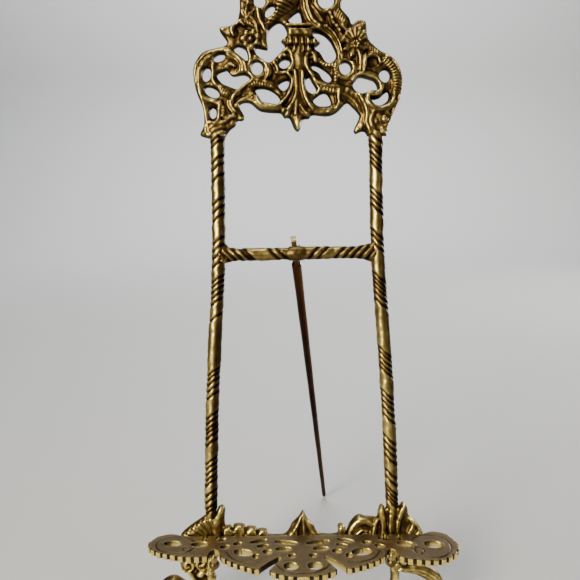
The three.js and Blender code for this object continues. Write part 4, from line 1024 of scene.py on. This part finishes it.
# ---------------------------------------------------------------- ledge (x across, y towards the frame, mm)
# Half of the scalloped front from the middle outwards: toothed stretches and plain ones.
LEDGE_RIM = [
    (True, [(0, -39.2), (6, -38.8), (11, -37.4), (15.4, -35.6), (18, -33.8)]),
    (False, [(14.2, -28.2), (11.4, -24.4), (11.6, -23.2), (13, -23.2), (17.2, -26.4), (21.6, -30.8)]),
    (True, [(22.4, -33.2), (25.2, -33), (30, -31.2), (35.5, -28.8), (40.5, -25.8), (44.4, -22.6)]),
    (False, [(44.6, -20), (45.2, -18), (47.4, -16.8), (49.6, -18), (50.2, -20)]),
    (True, [(50.6, -22.8), (54, -24.2), (60, -24.8), (67, -24.8), (74, -23.4), (80.4, -20), (84.6, -14.6), (84, -8.6)]),
    (False, [(80.6, -4.8), (77, -3.1), (74, -2.4), (71, -2.6), (68.4, -3.7), (64, -4.7)]),
]
TOOTH = 4.4
TOOTH_DEPTH = 0.9
LEDGE_HOLES = [
    (71, -12.6, 4.8, 2.4, 0), (56.2, -12.6, 4.6, 1.9, -8), (44.4, -8.4, 2.6, 1.2, -12), (42, -14.6, 2.7, 1.4, -12),
    (35.2, -11.8, 2.6, 1.3, -10), (24, -9.8, 4.8, 1.4, -14), (21.6, -13.8, 3.2, 1.2, -12), (18.6, -18.8, 2.7, 1.7, 0),
    (31.6, -19.4, 5.4, 2.6, 8), (24.8, -22.4, 1.9, 1.7, 0), (8.6, -11.2, 6.6, 1.5, 8), (10, -16.6, 4.4, 1.6, 0),
    (5.6, -22.2, 2.3, 1.4, 0), (6.2, -30.4, 3.9, 2.7, 0),
]


def toothed(points):
    """Coin-edge teeth along a rim: each is a flat land and a narrow notch."""
    curve = spline(points, 40)
    steps = np.linalg.norm(np.diff(curve, axis=0), axis=1)
    place = np.concatenate([[0], np.cumsum(steps)]) / steps.sum()
    heading = np.gradient(curve, axis=0)
    heading /= np.linalg.norm(heading, axis=1)[:, None]
    count = round(steps.sum() / TOOTH)
    rim = []
    for i in range(count):
        for part, inset in ((0.12, 0), (0.62, 0), (0.74, TOOTH_DEPTH), (1, TOOTH_DEPTH)):
            t = (i + part) / count
            x, y, dx, dy = [np.interp(t, place, column) for column in (*curve.T, *heading.T)]
            rim.append((x - dy * inset, y + dx * inset))
    return rim


def ledge_engraving(r):
    """Fine lines that follow the rims, rings round the end windows and small curls."""
    for side in (-1, 1):
        for line in (
            [(0, -35.8), (6, -35.2), (11.4, -32.6), (14, -29)],
            [(24, -27.2), (31, -27), (37.5, -24.2), (41.6, -18.6)],
        ):
            r.stroke([(side * x, y) for x, y in line], 0.4, 0.5, carve=True)
        r.stroke(ellipse(side * 69.4, -13.6, 10.8, 8.4, closed=True), 0.4, 0.5, carve=True)
        r.stroke(ellipse(side * 62.4, -17.4, 2.5, 2.1, closed=True), 0.38, 0.45, carve=True)
        for x, y, rx, ry, tilt in LEDGE_HOLES:
            r.stroke(ellipse(side * x, y, rx + 0.5, ry + 0.45, side * tilt, closed=True), 0.55, 0.25)


def ledge():
    half = [point for teeth, points in LEDGE_RIM for point in (toothed(points) if teeth else points)]
    relief = Relief((-86.5, -40.5), (86.5, -1), step=0.33)
    relief.add(half + mirrored(half)[::-1])
    for side in (-1, 1):
        for x, y, rx, ry, tilt in LEDGE_HOLES:
            relief.cut(ellipse(side * x, y, rx, ry, side * tilt))
        for hand in (-1, 1):
            x = side * LUG_X + hand * (LUG_WIDTH / 2 + GAP + EAR_WIDTH / 2)
            reach = EAR_WIDTH / 2 + GAP
            relief.cut([(x - reach, -9.3), (x + reach, -9.3), (x + reach, 0), (x - reach, 0)])
    ledge_engraving(relief)
    half_thick = LEDGE_THICK / 2
    made = relief.mesh("ledge_casting", ledge_point, MATTE, face=half_thick - 0.1, back=half_thick - 0.05,
                       lip=half_thick - 0.3, rounded=0.5, soften=0.6, tone=0.39)
    made.data.set_sharp_from_angle(angle=math.radians(38))
    shine_rim(made)
    deepen_right(made)
    return made


def shine_rim(piece):
    """The lands of the teeth are set bright, rubbed metal with a painted highlight, and the notches between them dark;
    the other walls carry painted light and painted shade.
    """
    mesh = piece.data
    count = len(mesh.vertices)
    co = np.empty(count * 3)
    normal = np.empty(count * 3)
    mesh.vertices.foreach_get("co", co)
    mesh.vertex_normals.foreach_get("vector", normal)
    co, normal = co.reshape(-1, 3) / MM, normal.reshape(-1, 3)
    x, y = np.abs(co[:, 0]), co[:, 1] - LEDGE_BACK
    inset = np.full(count, 9.0)
    for teeth, points in LEDGE_RIM:
        if teeth:
            inset = np.minimum(inset, to_polyline(np.stack([x, y], axis=1), spline(points, 12))[0])
    wall = np.clip(2.4 * (1 - np.abs(normal[:, 2])) - 0.3, 0, 1)
    # painted light on the walls: bright where they face the front and the left, dark where they face away
    facing = np.clip(-0.9 * normal[:, 1] - 1.1 * normal[:, 0], 0, 1)
    worn_and_shaded = np.where(inset < 0.4, 1.0, np.where(inset < 1.4, 0.20, 0.10 + 0.85 * facing))
    stain = np.exp(-(((x - 53) / 5.5) ** 2) - ((y + 12) / 7.5) ** 2)
    layer = mesh.attributes["wear_and_shading"]
    wear_and_shading = np.empty(count)
    layer.data.foreach_get("value", wear_and_shading)
    wear_and_shading = wear_and_shading + wall * (worn_and_shaded - wear_and_shading) + 0.12 * stain * (1 - wall)
    layer.data.foreach_set("value", np.clip(wear_and_shading, 0, 1).astype(np.float32))


def deepen_right(piece):
    """The right end lobe of the ledge was finished a little deeper than the left one."""
    for vertex in piece.data.vertices:
        x, y = vertex.co.x / MM, vertex.co.y / MM - LEDGE_BACK
        vertex.co.y += 4.0 * MM * max(-1, min(1, x / 72)) ** 3 * y / 24.8


# ---------------------------------------------------------------- rear leg
PIVOT = Vector(JOINTS["rear_leg_swing"]["pos_m"])
LEG_SOLE = Vector([c * MM for c in MOUNTS["rear_sole"]])
LEG_AXIS = Vector(JOINTS["rear_leg_swing"]["axis"]).normalized()
LEG_UP = (PIVOT - LEG_SOLE).normalized()
FRAME_BACK = Vector((0, math.cos(LEAN), -math.sin(LEAN)))
PIVOT_DEPTH = 8.5
TONGUE = 2.6


def basis(x, y, z, origin):
    """The matrix that takes mm along these axes to the scene."""
    turn = Matrix((x, y, z)).transposed().to_4x4()
    return Matrix.Translation(origin) @ turn @ Matrix.Scale(MM, 4)


LEG_SPACE = basis(LEG_AXIS, LEG_UP.cross(LEG_AXIS), LEG_UP, PIVOT)
EAR_SPACE = basis(LEG_AXIS, FRAME_BACK, LEG_AXIS.cross(FRAME_BACK), PIVOT)


def clevis_ear(hand):
    """One ear of the clevis behind the crossbar's boss."""
    outline = [(-PIVOT_DEPTH + 1.5, -4)] + arc(0, 0, 3.4, -90, 90) + [(-PIVOT_DEPTH + 1.5, 4)]
    offset = hand * (TONGUE / 2 + GAP + EAR_WIDTH / 2)
    place = EAR_SPACE @ Matrix.Translation((offset, 0, 0))
    return slab(f"clevis_{'left' if hand < 0 else 'right'}_ear", outline, EAR_WIDTH, place, BRASS, bevel=0.3)


def leg_tongue():
    """The flattened top of the leg, between the clevis ears."""
    outline = [(-2.9, -9), (-2.9, 3), (2.9, 3), (2.9, -9), (1.6, -16), (-1.6, -16)]
    return slab("leg_tongue", outline, TONGUE, LEG_SPACE, DARK, bevel=0.4, wear_and_shading=0.5)


def leg_tail():
    """The filed, bright end of the leg that shows over the crossbar."""
    outline = [(-2.8, 2.5), (-2.8, 9.2), (-2.0, 9.9), (2.0, 9.9), (2.8, 9.2), (2.8, 2.5)]
    return slab("leg_tail", outline, TONGUE + 0.4, LEG_SPACE, PIN, bevel=0.3, wear_and_shading=0.5)


def leg_rod():
    """The long rod, slightly tapered, with the shallow waves of a hand-drawn bar and a rounded foot."""
    length = (PIVOT - LEG_SOLE).length / MM
    z = np.linspace(-4.8, -length + 0.3, 90)[:, None]
    t = np.linspace(0, 1, 90)[:, None]
    angle = np.linspace(0, 2 * math.pi, 24, endpoint=False)[None, :]
    end = np.sqrt(np.clip(1 - np.clip((z + length - 0.3 - 1.2) / -1.2, 0, 1) ** 2, 0.02, 1))
    start = np.sqrt(np.clip(0.35 + t / 0.012, 0, 1))
    radius = (2.85 - 1.35 * t**0.8 + 0.05 * np.sin(38 * t + 0.6 * np.cos(angle))) * end * start
    rings = np.stack([radius * np.cos(angle), radius * np.sin(angle), z + 0 * angle], axis=-1)
    matrix = np.array(LEG_SPACE)
    rings = rings @ matrix[:3, :3].T + matrix[:3, 3]
    rings[..., 2] = np.maximum(rings[..., 2], 0.02 * MM)
    # painted light: one side of the rod is lighter than the other, and the top carries a painted highlight that fades
    # down the rod
    wear_and_shading = 0.28 - 0.24 * np.cos(angle) + 0.04 * np.sin(9 * t) + 0.24 * np.exp(-9 * t)
    return skin("leg_rod", rings, DARK, wear_and_shading)


def leg_pin():
    half = TONGUE / 2 + GAP + EAR_WIDTH
    head = [(half + 1.35, 0.05), (half + 1.3, 0.7), (half + 1.05, 1.5), (half + 0.6, 2.2), (half + 0.15, 2.5), (half, 2.4)]
    profile = [(-x, r) for x, r in head] + [(-half, 1.5), (half, 1.5)] + head[::-1]
    return lathe("leg_pivot_pin", profile, LEG_SPACE, PIN)


# ---------------------------------------------------------------- assembly
def fit(piece, body, slot, *nodes):
    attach(piece, body)
    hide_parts(*nodes)


def build_stand():
    fit(crest(), "frame", "cast_brass", "crest")
    fit(upright(-1, LEFT_GROOVES, 2.4), "frame", "cast_brass", "left_upright")
    fit(upright(1, RIGHT_GROOVES, -3.2), "frame", "cast_brass", "right_upright")
    for piece in (crossbar(), clevis_ear(-1), clevis_ear(1)):
        fit(piece, "frame", "cast_brass", "crossbar")
    for side in (-1, 1):
        for up in (-1, 1):
            fit(join_fillet(side, up), "frame", "cast_brass", "crossbar")
    fit(rail(), "frame", "cast_brass", "base_rail")
    for side, name in ((-1, "left"), (1, "right")):
        for hand in (-1, 1):
            fit(rail_ear(side, hand), "frame", "cast_brass", "base_rail")
        fit(foot(side), "frame", "cast_brass", name + "_foot")
        fit(bracket(side), "frame", "cast_brass", name + "_foot")
        fit(ledge_pin(side), "frame", "pin_brass", name + "_ledge_pin")
    fit(ledge(), "ledge", "matte_brass", "ledge")
    fit(leg_rod(), "rear_leg", "dark_rod", "rear_leg")
    fit(leg_tongue(), "rear_leg", "dark_rod", "rear_leg")
    fit(leg_tail(), "rear_leg", "pin_brass", "rear_leg")
    fit(leg_pin(), "frame", "pin_brass", "leg_pin")


# ---------------------------------------------------------------- stage, lights and camera
def backdrop():
    """A pale floor that curves up into a pale wall."""
    floor, wall, bend = -2.0, 1.6, 0.5
    profile = [(floor, 0.0), (wall - bend, 0.0)]
    for a in np.linspace(0, math.pi / 2, 12)[1:]:
        profile.append((wall - bend + bend * math.sin(a), bend - bend * math.cos(a)))
    profile.append((wall, 3.0))
    verts = [(x, y, z) for y, z in profile for x in (-3.0, 3.0)]
    faces = [(2 * i, 2 * i + 1, 2 * i + 3, 2 * i + 2) for i in range(len(profile) - 1)]
    paint = bpy.data.materials.new("studio_paper")
    paint.use_nodes = True
    shader = paint.node_tree.nodes["Principled BSDF"]
    shader.inputs["Base Color"].default_value = (0.58, 0.58, 0.57, 1)
    shader.inputs["Roughness"].default_value = 0.8
    mesh = bpy.data.meshes.new("backdrop")
    mesh.from_pydata(verts, [], faces)
    mesh.shade_smooth()
    mesh.materials.append(paint)
    obj = bpy.data.objects.new("backdrop", mesh)
    bpy.context.scene.collection.objects.link(obj)


def area_light(name, place, target, width, height, power, colour, spread):
    data = bpy.data.lights.new(name, "AREA")
    data.shape = "RECTANGLE"
    data.size = width
    data.size_y = height
    data.energy = power
    data.color = colour
    data.spread = math.radians(spread)
    light = bpy.data.objects.new(name, data)
    light.location = place
    light.rotation_euler = (Vector(target) - Vector(place)).to_track_quat("-Z", "Y").to_euler()
    bpy.context.scene.collection.objects.link(light)


def lights():
    middle = (0, 0, 0.18)
    area_light("window", (-0.72, -0.95, 0.70), middle, 0.42, 0.9, 5.6, (1.0, 0.95, 0.82), 80)
    area_light("right_fill", (1.0, -0.7, 0.5), middle, 0.10, 0.7, 0.35, (1.0, 0.97, 0.93), 80)
    area_light("top", (-0.1, 0.10, 1.2), middle, 0.5, 0.3, 1.2, (1, 1, 1), 80)
    area_light("back_fill", (0.95, 1.0, 0.28), middle, 0.6, 0.3, 2.2, (1.0, 0.98, 0.94), 70)
    area_light("wall_wash", (0, 0.75, 1.9), (0, 1.6, 0.6), 1.8, 0.5, 34, (0.96, 0.99, 1.0), 120)
    world = bpy.data.worlds.new("studio")
    world.use_nodes = True
    world.node_tree.nodes["Background"].inputs["Color"].default_value = (0.042, 0.040, 0.038, 1)
    bpy.context.scene.world = world


def camera():
    """The photograph's viewpoint: a little above the crossbar, looking 13 degrees down."""
    pitch, roll = math.radians(13), math.radians(0.8)
    ahead = Vector((0, math.cos(pitch), -math.sin(pitch)))
    right = Vector((1, 0, 0))
    up = right.cross(ahead)
    tilted_right = right * math.cos(roll) - up * math.sin(roll)
    tilted_up = up * math.cos(roll) + right * math.sin(roll)
    data = bpy.data.cameras.new("camera")
    data.sensor_width = 36
    data.lens = 36 * 600 / 580
    data.clip_start = 0.01
    obj = bpy.data.objects.new("camera", data)
    turn = Matrix((tilted_right, tilted_up, -ahead)).transposed().to_4x4()
    obj.matrix_world = Matrix.Translation((-0.0048, -0.33908, 0.26044)) @ turn
    bpy.context.scene.collection.objects.link(obj)
    bpy.context.scene.camera = obj


build_stand()
backdrop()
lights()
camera()
